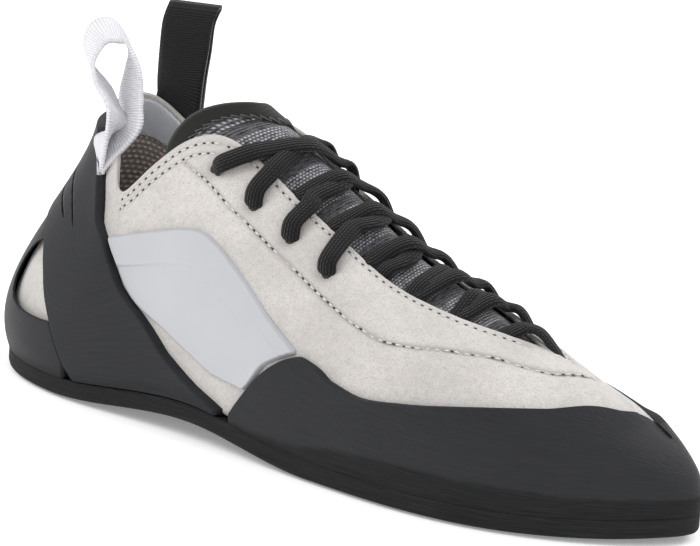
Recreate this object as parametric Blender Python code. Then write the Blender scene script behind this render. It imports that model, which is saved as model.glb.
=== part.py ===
"""A right climbing shoe: suede upper on a low-asymmetry last, rubber rand, heel strap and sole.

Metres, +Z up, +X to the toe, +Y to the medial side (a right shoe's left, seen from above).
Everything is draped on one function, surface(s, t): s runs round the foot's outline, row by row
of SECTIONS, and t climbs one section from the foot's edge (0) to the topline (1).
"""
import bpy
import bmesh
import numpy as np

# Driving sizes
LENGTH = 0.256            # the last's foot outline, heel to toe
BALL_HALF = 0.040         # half the last's width at the ball
INSTEP = 0.090            # top of the eyestay over the floor
UPPER_WALL = 0.0018       # suede with its lining
TURN_IN = 0.009           # margin of the upper turned in under the foot
SOLE_THICK = 0.0058
SOLE_EDGE = 0.0026        # the sole stands this far outside the upper
SOLE_BEVEL = 0.0012
ARCH = 0.005              # the sole's waist is lifted off the floor
TOE_SPRING = 0.0018
ARCH_SPAN = (0.15, 0.385, 0.59)   # where the waist starts to rise, is highest and ends, of LENGTH
SPRING_FROM = 0.80        # where the toe starts to rise, of LENGTH
HEEL_ROLL = 0.0032        # the sole's back edge is ground up to a thin edge
ROLL_FROM = 0.05          # where that starts, and how far it runs, of LENGTH
ROLL_RUN = 0.06
RAND_THICK = 0.0020
CUP_THICK = 0.0020
STRAP_THICK = 0.0028
PANEL_THICK = 0.0009
TONGUE_THICK = 0.0030
TONGUE_CROWN = 0.0062     # the tongue's rise between the two eyestays
BINDING_THICK = 0.0010
BINDING_DEEP = 0.0085
INSOLE_THICK = 0.0025
INSOLE_INSET = 0.0036
LACE_WIDTH = 0.0062
LACE_THICK = 0.0028
LACE_CLEAR = 0.0008       # the lower bars' gap over the leather, beyond FIT, and the upper ones'
LACE_RISE = 0.0016
LACE_INSET = 0.008        # the upper bars' ends lie this share higher
WHITE_WIDTH = 0.0115
BLACK_WIDTH = 0.0160
LOOP_THICK = 0.0013
LOOP_HIGH = 0.036         # the pull loops over the collar
FIT = 0.0006              # gap between pieces laid on each other
SOFT_FIT = 0.0009         # gap between the tongue and what it slides in

HEEL_TREAD = (0.100, -0.05)   # flat spot under the heel, as shares of LENGTH and BALL_HALF

# The last, a row for each section. Rows 0 to 13 go from the back of the heel round the lateral
# side to the toe's tip, and rows 14 to 25 come back along the medial side.
# foot x, foot y: the outline under the foot, of LENGTH and BALL_HALF
# swell, rise: how far the side swells out, of BALL_HALF, and where, of the section's height
# reach, drop: the shoulder's reach towards the foot, and its drop below the topline, of INSTEP
# top x, top y, top z: the topline, of LENGTH, BALL_HALF and INSTEP
SECTIONS = [
    (0.000, -0.03, 0.28, 0.29, -0.10, 0.24, 0.102, 0.08, 0.975),
    (0.026, -0.38, 0.29, 0.29, 0.00, 0.24, 0.135, -0.18, 0.955),
    (0.087, -0.64, 0.19, 0.31, 0.16, 0.22, 0.178, -0.38, 0.895),
    (0.175, -0.77, 0.11, 0.37, 0.36, 0.20, 0.216, -0.59, 0.755),
    (0.281, -0.78, 0.10, 0.42, 0.48, 0.17, 0.272, -0.55, 0.880),
    (0.389, -0.79, 0.13, 0.48, 0.52, 0.15, 0.351, -0.39, 1.010),
    (0.495, -0.83, 0.14, 0.50, 0.58, 0.13, 0.445, -0.31, 0.890),
    (0.602, -0.86, 0.12, 0.50, 0.62, 0.11, 0.536, -0.29, 0.760),
    (0.707, -0.86, 0.11, 0.50, 0.67, 0.09, 0.624, -0.27, 0.645),
    (0.803, -0.76, 0.10, 0.50, 0.70, 0.08, 0.719, -0.15, 0.580),
    (0.886, -0.53, 0.10, 0.53, 0.68, 0.07, 0.804, 0.13, 0.515),
    (0.952, -0.21, 0.09, 0.57, 0.60, 0.06, 0.870, 0.24, 0.434),
    (0.988, 0.08, 0.07, 0.60, 0.52, 0.05, 0.915, 0.30, 0.352),
    (1.000, 0.29, 0.06, 0.60, 0.50, 0.05, 0.936, 0.33, 0.310),
    (0.984, 0.43, 0.06, 0.60, 0.52, 0.06, 0.915, 0.30, 0.352),
    (0.945, 0.60, 0.07, 0.58, 0.55, 0.09, 0.870, 0.24, 0.434),
    (0.887, 0.79, 0.08, 0.55, 0.56, 0.12, 0.804, 0.13, 0.515),
    (0.808, 0.92, 0.08, 0.53, 0.57, 0.13, 0.724, 0.31, 0.575),
    (0.712, 0.94, 0.09, 0.50, 0.57, 0.13, 0.628, 0.34, 0.650),
    (0.607, 0.83, 0.12, 0.50, 0.56, 0.13, 0.538, 0.36, 0.765),
    (0.497, 0.66, 0.15, 0.48, 0.53, 0.14, 0.448, 0.38, 0.895),
    (0.387, 0.57, 0.16, 0.45, 0.48, 0.15, 0.355, 0.41, 1.010),
    (0.278, 0.56, 0.14, 0.42, 0.42, 0.17, 0.274, 0.53, 0.935),
    (0.173, 0.58, 0.12, 0.37, 0.33, 0.20, 0.191, 0.59, 0.870),
    (0.084, 0.51, 0.16, 0.31, 0.18, 0.23, 0.134, 0.53, 0.955),
    (0.022, 0.31, 0.25, 0.30, 0.02, 0.26, 0.108, 0.33, 1.000),
]
THROAT_ROW = 10           # the throat ends here; beyond it both sides share the vamp's ridge
TOE_ROW = 13
RIDGE_LEAN = 0.25         # the ridge's surface leans down to the medial side
COUNT = len(SECTIONS)

# Edges of the overlays: station s, height t
STRAP_FRONT = [(0.0, 0.940), (1.0, 0.940), (1.5, 0.905), (2.0, 0.878), (2.6, 0.865), (3.0, 0.808),
               (3.3, 0.725), (3.6, 0.560), (3.9, 0.385), (4.3, 0.240), (4.7, 0.115), (5.1, 0.050),
               (5.5, 0.018)]
STRAP_REAR = [(0.0, 0.565), (0.7, 0.560), (1.2, 0.530), (1.6, 0.490), (2.1, 0.415), (2.4, 0.340),
              (2.7, 0.245), (2.95, 0.130), (3.1, 0.050), (3.25, 0.0), (6.0, 0.0)]
RAND_TOP = [(5.65, 0.024), (5.85, 0.095), (6.2, 0.220), (6.55, 0.312), (6.75, 0.342), (6.95, 0.338),
            (7.2, 0.312), (7.5, 0.307), (8.15, 0.363), (9.0, 0.457), (9.8, 0.540), (10.6, 0.643),
            (11.1, 0.710), (11.75, 0.830), (12.3, 0.930), (13.0, 0.965)]
PANEL_TOP = [(3.36, 0.715), (4.0, 0.640), (4.9, 0.548), (5.15, 0.528), (5.85, 0.443), (6.3, 0.385),
             (6.62, 0.350)]
PANEL_FOOT = [(3.36, 0.700), (3.62, 0.560), (3.92, 0.385), (4.15, 0.295), (4.5, 0.215), (4.95, 0.140),
              (5.4, 0.103), (5.85, 0.112), (6.2, 0.236), (6.62, 0.335)]

# Outline of the heel's window between cup and strap, seen from the side: x of LENGTH, z of INSTEP
WINDOW = [(0.105, 0.520), (0.075, 0.480), (0.056, 0.420), (0.046, 0.345), (0.052, 0.290),
          (0.072, 0.262), (0.098, 0.253), (0.128, 0.253), (0.170, 0.262), (0.170, 0.520)]

# Lace: the stations of its eyelets on both eyestays, from the top, and where each bar starts
LACE_ROWS = [5.00, 5.64, 6.24, 6.86, 7.42, 8.00, 8.60, 9.20]
LACE_START = [0.80, 0.76, 0.76, 0.76, 0.93, 0.95, 0.95, 0.95]

# Tongue, from the throat's end to its top edge: station, crown of TONGUE_CROWN, lean of the
# crown to the toe
TONGUE_ROWS = [(9.6, 0.25, 0.35), (9.0, 0.62, 0.35), (8.4, 0.90, 0.35), (7.8, 1.00, 0.35),
               (7.2, 1.00, 0.37), (6.6, 1.00, 0.40), (6.0, 1.00, 0.44), (5.5, 1.00, 0.50),
               (5.0, 1.15, 0.58), (4.6, 1.95, 0.66), (4.2, 3.05, 0.70)]
TONGUE_TUCK = 0.86        # height on the section that the tongue's sides reach down to

# Pull loops over the collar, of LOOP_HIGH from the base: along x, across y, up z, then the way
# of the tape's width, x, y, z
WHITE_LOOP = [(-0.04, -0.07, 0.22, 0.55, -0.60, -0.45), (-0.19, -0.10, 0.44, 0.60, -0.75, 0.00),
              (-0.34, -0.07, 0.69, 0.40, -0.85, 0.25), (-0.37, -0.03, 0.92, 0.20, -0.90, 0.40),
              (-0.19, -0.02, 1.11, 0.05, -0.90, 0.45), (0.04, -0.02, 1.06, 0.05, -0.90, 0.40),
              (0.20, -0.03, 0.83, 0.10, -0.95, 0.30), (0.25, -0.07, 0.56, 0.30, -0.90, 0.10),
              (0.17, -0.13, 0.31, 0.50, -0.75, -0.30)]
BLACK_LOOP = [(0.04, 0.01, 0.28, -0.92, -0.30, 0.00), (0.10, -0.03, 0.56, -0.85, -0.48, 0.00),
              (0.15, -0.06, 0.80, -0.80, -0.56, 0.05), (0.19, -0.04, 0.95, -0.78, -0.60, 0.05),
              (0.15, 0.05, 0.95, -0.78, -0.60, 0.05), (0.09, 0.04, 0.79, -0.80, -0.56, 0.05),
              (0.05, 0.06, 0.53, -0.85, -0.48, 0.00), (0.00, 0.09, 0.26, -0.92, -0.30, 0.00)]
WHITE_BASE = 2.25         # stations of the loops' bases, and the heights that their feet lie on
BLACK_BASE = 23.90
LOOP_FOOT = [0.910, 0.955, 1.0]


def closed_slopes(knots, values):
    """Slopes of the closed cubic spline through values at growing knots, the last knot the first."""
    step = np.diff(knots)
    n = len(step)
    rise = (np.roll(values, -1, 0) - values) / step[:, None]
    system = np.zeros((n, n))
    right = np.zeros_like(values)
    for i in range(n):
        system[i, i - 1] += step[i]
        system[i, i] += 2 * (step[i - 1] + step[i])
        system[i, (i + 1) % n] += step[i - 1]
        right[i] = 3 * (step[i] * rise[i - 1] + step[i - 1] * rise[i])
    return np.linalg.solve(system, right)


ROWS = np.array(SECTIONS) * [LENGTH, BALL_HALF, BALL_HALF, 1, 1, INSTEP, LENGTH, BALL_HALF, INSTEP]
GAPS = np.linalg.norm(np.roll(ROWS[:, :2], -1, 0) - ROWS[:, :2], axis=1)
SLOPES = closed_slopes(np.concatenate([[0], np.cumsum(GAPS)]), ROWS)


def row_at(s):
    """A section's nine numbers at station s, and how they change along the outline."""
    s = np.mod(s, COUNT)
    i = np.minimum(np.floor(s).astype(int), COUNT - 1)
    j = (i + 1) % COUNT
    u = (s - i)[:, None]
    h = GAPS[i][:, None]
    a, b, m, n = ROWS[i], ROWS[j], SLOPES[i] * h, SLOPES[j] * h
    value = (2*u**3 - 3*u**2 + 1)*a + (u**3 - 2*u**2 + u)*m + (3*u**2 - 2*u**3)*b + (u**3 - u**2)*n
    change = ((6*u**2 - 6*u)*(a - b) + (3*u**2 - 4*u + 1)*m + (3*u**2 - 2*u)*n) / h
    return value, change


def unit(v):
    return v / np.linalg.norm(v, axis=-1, keepdims=True)


def ease(x, start, end):
    """0 before start, 1 after end, and a smooth step between."""
    u = np.clip((x - start) / (end - start), 0, 1)
    return u * u * (3 - 2 * u)


def through(table, x):
    """A smooth curve through a table's points, which never overshoots them."""
    xs, ys = np.array(table, float).T
    h = np.diff(xs)
    d = np.diff(ys) / h
    inner = np.where(d[1:] * d[:-1] > 0, 2 * d[1:] * d[:-1] / (d[1:] + d[:-1] + 1e-12), 0)
    m = np.concatenate([d[:1], inner, d[-1:]])
    x = np.clip(x, xs[0], xs[-1])
    i = np.clip(np.searchsorted(xs, x) - 1, 0, len(h) - 1)
    u = (x - xs[i]) / h[i]
    return ((2*u**3 - 3*u**2 + 1)*ys[i] + (u**3 - 2*u**2 + u)*h[i]*m[i]
            + (3*u**2 - 2*u**3)*ys[i + 1] + (u**3 - u**2)*h[i]*m[i + 1])


def lift(x):
    """How far the sole's underside is off the floor: the arch and the toe spring."""
    share = x / LENGTH
    start, top, end = ARCH_SPAN
    arch = ease(share, start, top) - ease(share, top, end)
    spring = np.clip((share - SPRING_FROM) / (1 - SPRING_FROM), 0, None) ** 2
    return ARCH * arch + TOE_SPRING * spring


def outward(s):
    """Unit vectors in plan, square to the foot's outline at stations s."""
    along = unit(row_at(s)[1][:, :2])
    return np.stack([along[:, 1], -along[:, 0]], 1)


def ridge(s):
    """How far stations s are past the throat's end, and the way the vamp's ridge faces there."""
    past = TOE_ROW - THROAT_ROW - np.abs(np.mod(s, COUNT) - TOE_ROW)
    near = TOE_ROW - np.clip(np.abs(np.mod(s, COUNT) - TOE_ROW), 1, None)
    run = unit(row_at(near + 0.1)[0][:, 6:9] - row_at(near - 0.1)[0][:, 6:9])
    up = np.array([0, RIDGE_LEAN, 1.0])
    return past, unit(up - (run @ up)[:, None] * run)


def section(s):
    """The four control points of the sections at stations s."""
    row = row_at(s)[0]
    top = row[:, 6:9].copy()
    past, up = ridge(s)
    shared = past >= -1e-6
    top[shared] = (top[shared] + row_at(2 * TOE_ROW - s)[0][shared, 6:9]) / 2
    floor = SOLE_THICK + FIT + lift(row[:, 0])
    foot = np.column_stack([row[:, :2], floor])
    side = np.column_stack([row[:, :2] + outward(s) * row[:, 2:3],
                            floor + row[:, 3] * (top[:, 2] - floor)])
    shoulder = np.column_stack([(foot - top)[:, :2] * row[:, 4:5], -row[:, 5]])
    level = shoulder - (shoulder * up).sum(1, keepdims=True) * up
    shoulder = shoulder + (level - shoulder) * ease(past, 0, 1)[:, None]
    return foot, side, top + shoulder, top


def bare_surface(s, t):
    a, b, c, d = section(s)
    t = t[:, None]
    return (1 - t)**3 * a + 3*(1 - t)**2 * t * b + 3*(1 - t) * t**2 * c + t**3 * d


def normal(s, t):
    """The surface's outward normals; on the vamp's ridge both sides share one."""
    near = np.minimum(t, 0.97)
    across = bare_surface(s + 0.01, near) - bare_surface(s - 0.01, near)
    climb = bare_surface(s, np.minimum(t + 0.01, 1)) - bare_surface(s, np.maximum(t - 0.01, 0))
    n = unit(np.cross(across, climb))
    past, up = ridge(s)
    share = (ease(t, 0.75, 1) * (past >= -1e-6))[:, None]
    return unit(n + (up - n) * share)


def surface(s, t, off=0.0):
    """Points at stations s and heights t, pushed out of the last by off."""
    s, t, off = np.broadcast_arrays(*(np.asarray(v, float) for v in (s, t, off)))
    flat = (s.ravel(), t.ravel())
    points = bare_surface(*flat) + normal(*flat) * off.ravel()[:, None]
    return points.reshape(s.shape + (3,))


# Building blocks

for old in list(bpy.data.objects):
    bpy.data.objects.remove(old)

origin = bpy.data.objects.new("origin_at_heel_tread", None)
origin.location = (-HEEL_TREAD[0] * LENGTH, -HEEL_TREAD[1] * BALL_HALF, 0)
bpy.context.scene.collection.objects.link(origin)


def material(name, colour, roughness):
    made = bpy.data.materials.new(name)
    made.use_nodes = True
    shader = made.node_tree.nodes["Principled BSDF"]
    shader.inputs["Base Color"].default_value = (*colour, 1)
    shader.inputs["Roughness"].default_value = roughness
    shader.inputs["Metallic"].default_value = 0
    return made


SUEDE = material("suede", (0.62, 0.60, 0.57), 0.95)
RUBBER = material("rubber", (0.045, 0.047, 0.050), 0.55)
FILM = material("film", (0.68, 0.70, 0.72), 0.45)
KNIT = material("knit", (0.05, 0.05, 0.055), 0.95)
BINDING = material("binding", (0.035, 0.036, 0.030), 0.85)
BOARD = material("insole_cloth", (0.30, 0.29, 0.28), 0.9)
CORD = material("lace_cord", (0.045, 0.045, 0.05), 0.8)
WHITE_TAPE = material("white_tape", (0.75, 0.75, 0.78), 0.7)
BLACK_TAPE = material("black_tape", (0.03, 0.03, 0.032), 0.7)


def add_object(name, bm, finish, smooth=True):
    """A bmesh as an object named for its node, standing on the heel tread's origin."""
    bmesh.ops.recalc_face_normals(bm, faces=bm.faces)
    mesh = bpy.data.meshes.new(name)
    bm.to_mesh(mesh)
    bm.free()
    mesh.materials.append(finish)
    if smooth:
        mesh.shade_smooth()
        mesh.set_sharp_from_angle(angle=0.7)
    made = bpy.data.objects.new(name, mesh)
    made.parent = origin
    bpy.context.scene.collection.objects.link(made)
    return made


def thicken(made, wall, side):
    """A wall on a sheet: side 1 grows it out of the last, -1 into it."""
    solid = made.modifiers.new("wall", "SOLIDIFY")
    solid.thickness = wall
    solid.offset = side
    solid.use_even_offset = True
    return solid


def grid_faces(bm, points, close=False):
    """Quads over a grid of points, given as rows of one length; close joins last row to first."""
    rows = [[bm.verts.new(p) for p in row] for row in points]
    pairs = list(zip(rows, rows[1:] + rows[:1])) if close else list(zip(rows, rows[1:]))
    for low, high in pairs:
        for a, b, c, d in zip(low, low[1:], high[1:], high):
            bm.faces.new((a, d, c, b))
    return rows


def sheet(name, outside, inside, finish):
    """A solid between two grids of points, the outer one first, walled in at its four edges."""
    bm = bmesh.new()
    out = grid_faces(bm, outside)
    back = grid_faces(bm, inside)
    edge_out = out[0] + [r[-1] for r in out[1:-1]] + out[-1][::-1] + [r[0] for r in out[-2:0:-1]]
    edge_in = back[0] + [r[-1] for r in back[1:-1]] + back[-1][::-1] + [r[0] for r in back[-2:0:-1]]
    for i in range(len(edge_out)):
        j = (i + 1) % len(edge_out)
        bm.faces.new((edge_out[i], edge_out[j], edge_in[j], edge_in[i]))
    return add_object(name, bm, finish)


def stations(start, end):
    """Stations between two, closer where the outline bends, at heel and toe."""
    spans = []
    for row in range(int(np.floor(start)), int(np.ceil(end))):
        turning = min(abs(row % COUNT - end) for end in (-0.5, TOE_ROW - 0.5, COUNT - 0.5)) < 3.2
        spans += list(row + np.arange(4) / 4) if turning else list(row + np.arange(3) / 3)
    spans = np.array(spans)
    spans = spans[(spans > start + 0.08) & (spans < end - 0.08)]
    return np.concatenate([[start], spans, [end]])


def on_sole(points):
    """Points kept clear of the sole's top."""
    points = points.copy()
    points[..., 2] = np.maximum(points[..., 2], SOLE_THICK + FIT + lift(points[..., 0]))
    return points


def patch(name, s, low, high, rows, off, wall, finish):
    """An overlay on the last between the heights low and high at stations s."""
    t = low[:, None] + (high - low)[:, None] * np.linspace(0, 1, rows + 1)[None, :]
    s = s[:, None] * np.ones_like(t)
    return sheet(name, on_sole(surface(s, t, off + wall)), on_sole(surface(s, t, off)), finish)


# Upper: the whole last as one sheet, turned in under the foot, closed along the vamp's ridge
ring = stations(0, COUNT)[:-1]
heights = np.linspace(0, 1, 10)
walls = surface(ring[:, None] * np.ones(10), heights[None, :] * np.ones((len(ring), 1)))
inner = row_at(ring)[0][:, :2] - outward(ring) * TURN_IN
turned = np.column_stack([inner, SOLE_THICK + FIT + lift(inner[:, 0])])
bm = bmesh.new()
rows = grid_faces(bm, [np.vstack([turned[i], walls[i]]) for i in range(len(ring))], close=True)
closed = [row[-1] for row, s in zip(rows, ring) if abs(s - TOE_ROW) <= TOE_ROW - THROAT_ROW + 1e-6]
bmesh.ops.remove_doubles(bm, verts=closed, dist=1e-5)
mesh = bpy.data.meshes.new("upper")
bm.to_mesh(mesh)
bm.free()
mesh.materials.append(SUEDE)
mesh.shade_smooth()
mesh.set_sharp_from_angle(angle=0.7)
upper = bpy.data.objects.new("upper", mesh)
upper.parent = origin
bpy.context.scene.collection.objects.link(upper)
thicken(upper, UPPER_WALL, -1)


# Sole and insole: strips across the foot between the two sides of an outline
def outline_sides(offset, steps=44):
    """x stations from heel to toe, and the lateral and medial y of the outline pushed out by offset."""
    s = np.linspace(0, COUNT, 521)[:-1]
    p = row_at(s)[0][:, :2] + outward(s) * offset
    heel = np.argmin(p[:, 0])
    toe = np.argmax(p[:, 0])
    loop = np.roll(p, -heel, 0)
    cut = (toe - heel) % len(p)
    lateral = loop[:cut + 1]
    medial = np.vstack([loop[cut:], loop[:1]])[::-1]
    x = (1 - np.cos(np.linspace(0, np.pi, steps + 1))) / 2
    x = loop[0, 0] + (loop[cut, 0] - loop[0, 0]) * x
    return x, np.interp(x, lateral[:, 0], lateral[:, 1]), np.interp(x, medial[:, 0], medial[:, 1])


def slab(name, levels, finish):
    """A solid of outlines stacked from the bottom: each level is an offset and a height function."""
    bm = bmesh.new()
    loops = []
    sides = []
    for offset, height in levels:
        x, low, high = outline_sides(offset)
        z = height(x)
        lateral = [bm.verts.new(p) for p in zip(x, low, z)]
        medial = [lateral[0]] + [bm.verts.new(p) for p in zip(x[1:-1], high[1:-1], z[1:-1])] + [lateral[-1]]
        sides.append((lateral, medial))
        loops.append(lateral + medial[-2:0:-1])
    for lower, upper_loop in zip(loops, loops[1:]):
        for i in range(len(lower)):
            j = (i + 1) % len(lower)
            bm.faces.new((lower[i], lower[j], upper_loop[j], upper_loop[i]))
    for (lateral, medial), flip in ((sides[0], True), (sides[-1], False)):
        for i in range(len(lateral) - 1):
            corners = [lateral[i], lateral[i + 1], medial[i + 1], medial[i]]
            corners = list(dict.fromkeys(corners))
            bm.faces.new(corners[::-1] if flip else corners)
    return add_object(name, bm, finish)


def tread(x):
    """The sole's underside: flat, lifted at the arch and toe, and rolled up at the heel's back."""
    back = np.clip((ROLL_FROM - x / LENGTH) / ROLL_RUN, 0, None) ** 2
    return lift(x) + HEEL_ROLL * back


def sole_top(x):
    return SOLE_THICK + lift(x)


slab("outsole", [
    (SOLE_EDGE - SOLE_BEVEL, tread),
    (SOLE_EDGE, lambda x: tread(x) + SOLE_BEVEL * 0.9),
    (SOLE_EDGE, sole_top),
], RUBBER)

slab("insole", [
    (-INSOLE_INSET, lambda x: sole_top(x) + 2 * FIT + UPPER_WALL),
    (-INSOLE_INSET, lambda x: sole_top(x) + 2 * FIT + UPPER_WALL + INSOLE_THICK),
], BOARD)


# Rubber: toe rand, heel cup with its windows, and the strap round the heel
s = stations(RAND_TOP[0][0], 2 * TOE_ROW - RAND_TOP[0][0])
lateral_s = TOE_ROW - np.abs(s - TOE_ROW)
high = through(RAND_TOP, lateral_s)
patch("toe_rand", s, 0 * s, high, 8, FIT, RAND_THICK, RUBBER)

s = stations(-3.05, 3.05)
high = through(STRAP_REAR, np.abs(s)) - 0.011
heel_cup = patch("heel_cup", s, 0 * s, high, 5, FIT, CUP_THICK, RUBBER)

bm = bmesh.new()
profile = [bm.verts.new((x * LENGTH, -BALL_HALF * 1.5, z * INSTEP)) for x, z in WINDOW]
face = bm.faces.new(profile)
push = bmesh.ops.extrude_face_region(bm, geom=[face])
moved = [v for v in push["geom"] if isinstance(v, bmesh.types.BMVert)]
bmesh.ops.translate(bm, verts=moved, vec=(0, BALL_HALF * 3, 0))
window = add_object("window_cutter", bm, RUBBER, smooth=False)
window.hide_render = True
window.display_type = "WIRE"
cut = heel_cup.modifiers.new("windows", "BOOLEAN")
cut.operation = "DIFFERENCE"
cut.solver = "EXACT"
cut.object = window

s = stations(-STRAP_FRONT[-1][0], STRAP_FRONT[-1][0])
patch("heel_strap", s, through(STRAP_REAR, np.abs(s)), through(STRAP_FRONT, np.abs(s)), 5,
      FIT, STRAP_THICK, RUBBER)

# Side panel: a moulded film on the lateral side, between strap, eyestay and rand
s = stations(PANEL_TOP[0][0], PANEL_TOP[-1][0])
patch("side_panel", s, through(PANEL_FOOT, s), through(PANEL_TOP, s), 4, FIT, PANEL_THICK, FILM)


# Tongue: a crowned sheet tucked under both eyestays
def curve(points, steps):
    """A smooth curve through points, with steps pieces between each two."""
    points = np.asarray(points, float)
    before = np.vstack([2 * points[:1] - points[1:2], points, 2 * points[-1:] - points[-2:-1]])
    made = []
    for i in range(len(points) - 1):
        a, b, c, d = before[i:i + 4]
        for u in np.arange(steps) / steps:
            made.append(0.5 * (2*b + (c - a)*u + (2*a - 5*b + 4*c - d)*u**2 + (3*b - a - 3*c + d)*u**3))
    return np.vstack(made + [points[-1:]])


def lifted(points, off):
    """A grid of points pushed along its own normals: columns run along s, rows climb."""
    across = np.gradient(points, axis=0)
    climb = np.gradient(points, axis=1)
    return points + unit(np.cross(across, climb)) * off


def tongue_way(s):
    """The way the tongue's middle faces at station s."""
    lean = through(np.array(TONGUE_ROWS)[::-1, [0, 2]], s)
    return np.array([lean, 0, np.sqrt(1 - lean**2)])


def tongue_row(s):
    """The tongue's outer face across the shoe at station s, from lateral to medial."""
    crown = TONGUE_CROWN * through(np.array(TONGUE_ROWS)[::-1, :2], s)
    sides = surface([s, s, 2*TOE_ROW - s, 2*TOE_ROW - s], [TONGUE_TUCK, 1, 1, TONGUE_TUCK],
                    -UPPER_WALL - SOFT_FIT)
    middle = (sides[1] + sides[2]) / 2 + crown * tongue_way(s)
    return curve([sides[0], sides[1], middle, sides[2], sides[3]], 2)


tongue = np.array([tongue_row(row[0]) for row in TONGUE_ROWS])
tongue = tongue.transpose(1, 0, 2)
sheet("tongue", tongue, lifted(tongue, -TONGUE_THICK), KNIT)

top = tongue[:, -1]
below = tongue[:, -2]
reach = np.linalg.norm(top - below, axis=1, keepdims=True)
share = np.minimum(BINDING_DEEP / reach, 0.95)
band = np.stack([top + (below - top) * share, top + (below - top) * share * 0.5, top], 1)
band = np.vstack([[band[2] * 0.4 + band[3] * 0.6], band[3:6], [band[5] * 0.6 + band[6] * 0.4]])
sheet("tongue_binding", lifted(band, FIT + BINDING_THICK), lifted(band, FIT), BINDING)


# Pull loops: a tape from the collar's side, up, over and back to where it started
def tape(name, base_s, loop, width, finish):
    """A flat tape: both ends lie on the upper below the collar at station base_s."""
    heights = np.array(LOOP_FOOT)
    rows = np.array(loop)
    ways = unit(rows[:, 3:])
    step = np.linalg.norm(surface(base_s + 0.5, 0.97) - surface(base_s - 0.5, 0.97))
    rim = surface(base_s, 1.0)
    lines = []
    for k in (-0.5, 0, 0.5):
        s = base_s + k * width / step
        near = surface(s, heights, FIT + LOOP_THICK / 2)
        far = surface(s, heights[:0:-1], 2 * FIT + LOOP_THICK * 1.5)
        free = rim + rows[:, :3] * LOOP_HIGH + ways * width * k
        lines.append(curve(np.vstack([near, free, far]), 3))
    lines = np.array(lines)
    return sheet(name, lifted(lines, LOOP_THICK / 2), lifted(lines, -LOOP_THICK / 2), finish)


tape("pull_loop_lateral", WHITE_BASE, WHITE_LOOP, WHITE_WIDTH, WHITE_TAPE)
tape("pull_loop_medial", BLACK_BASE, BLACK_LOOP, BLACK_WIDTH, BLACK_TAPE)


# Lace: two bars from each row of eyelets to the next, crossing over the tongue, joined as one
def lace_bar(start, end):
    """Centre line of a bar from lateral row start to medial row end."""
    a, b = LACE_ROWS[start], LACE_ROWS[end]
    rising = start > end
    over = FIT + LACE_THICK / 2 + (LACE_RISE if rising else LACE_CLEAR)
    inset = LACE_INSET if rising else 0.0
    low, high = LACE_START[start] + inset, LACE_START[end] + inset
    near = a + (b - a) * np.array([0, 0.05, 0.1])
    far = b + (a - b) * np.array([0.1, 0.05, 0])
    left = surface(near, [low, (low + 1) / 2, 1.0], over)
    right = surface(2*TOE_ROW - far, [1.0, (high + 1) / 2, high], over)
    crown = tongue_row((a + b) / 2)[4] + tongue_way((a + b) / 2) * (over + LACE_CLEAR / 2)
    fine = curve(np.vstack([left, [crown], right]), 8)
    along = np.concatenate([[0], np.cumsum(np.linalg.norm(np.diff(fine, axis=0), axis=1))])
    even = np.linspace(0, along[-1], int(round(along[-1] / LACE_WIDTH * 2)) + 1)
    return np.column_stack([np.interp(even, along, fine[:, k]) for k in range(3)])


def tube(name, path, facing):
    """An oval tube along a path, its flat side turned to facing, with closed ends."""
    run = unit(np.gradient(path, axis=0))
    side = unit(np.cross(run, facing))
    up = np.cross(side, run)
    bm = bmesh.new()
    turns = np.arange(6) * np.pi / 3
    rings = []
    for p, a, b in zip(path, side, up):
        rings.append([bm.verts.new(p + a * np.cos(k) * LACE_WIDTH / 2 + b * np.sin(k) * LACE_THICK / 2)
                      for k in turns])
    for low, high in zip(rings, rings[1:]):
        for i in range(6):
            bm.faces.new((low[i], low[i - 1], high[i - 1], high[i]))
    bm.faces.new(rings[0])
    bm.faces.new(rings[-1][::-1])
    return add_object(name, bm, CORD)


bars = [(i, i + 1) for i in range(len(LACE_ROWS) - 1)] + [(i + 1, i) for i in range(len(LACE_ROWS) - 1)]
bars.append((len(LACE_ROWS) - 1, len(LACE_ROWS) - 1))
laces = tube("laces", lace_bar(*bars[0]), tongue_way(LACE_ROWS[0]))
for start, end in bars[1:]:
    bar = tube("lace_bar_%d_%d" % (start, end), lace_bar(start, end), tongue_way(LACE_ROWS[start]))
    bar.hide_render = True
    bar.display_type = "WIRE"
    join = laces.modifiers.new("join", "BOOLEAN")
    join.operation = "UNION"
    join.solver = "MANIFOLD"
    join.object = bar
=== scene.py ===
# %% [markdown]
# # A climbing shoe, dressed
#
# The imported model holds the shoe's pieces as plain solids: upper, sole, rubber, tongue, lace and
# pull loops. This lesson gives each one the surface that the real piece has. Most of a shoe is
# sheet stuff pulled over a last, so nearly every piece here starts as a flat grid and is carried
# onto the same last that the solids were made on. What is sewn, punched or braided is then laid
# on that surface, at its real size.

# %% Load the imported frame
import math
import bmesh
import bpy
import numpy as np
from mathutils import Matrix, Vector


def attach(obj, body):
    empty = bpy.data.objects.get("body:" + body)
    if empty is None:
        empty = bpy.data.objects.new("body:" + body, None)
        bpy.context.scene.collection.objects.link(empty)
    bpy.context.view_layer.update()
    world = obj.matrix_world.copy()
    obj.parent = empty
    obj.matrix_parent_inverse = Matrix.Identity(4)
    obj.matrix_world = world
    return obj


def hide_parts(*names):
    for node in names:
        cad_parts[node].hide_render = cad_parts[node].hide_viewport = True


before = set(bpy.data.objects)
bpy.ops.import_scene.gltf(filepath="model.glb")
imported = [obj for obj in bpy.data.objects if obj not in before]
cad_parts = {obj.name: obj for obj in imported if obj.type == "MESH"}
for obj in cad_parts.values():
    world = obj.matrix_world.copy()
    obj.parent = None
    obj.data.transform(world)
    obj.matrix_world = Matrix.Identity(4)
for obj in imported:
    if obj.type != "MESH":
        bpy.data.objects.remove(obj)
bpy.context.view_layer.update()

print("solids:", ", ".join(sorted(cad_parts)))

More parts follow.
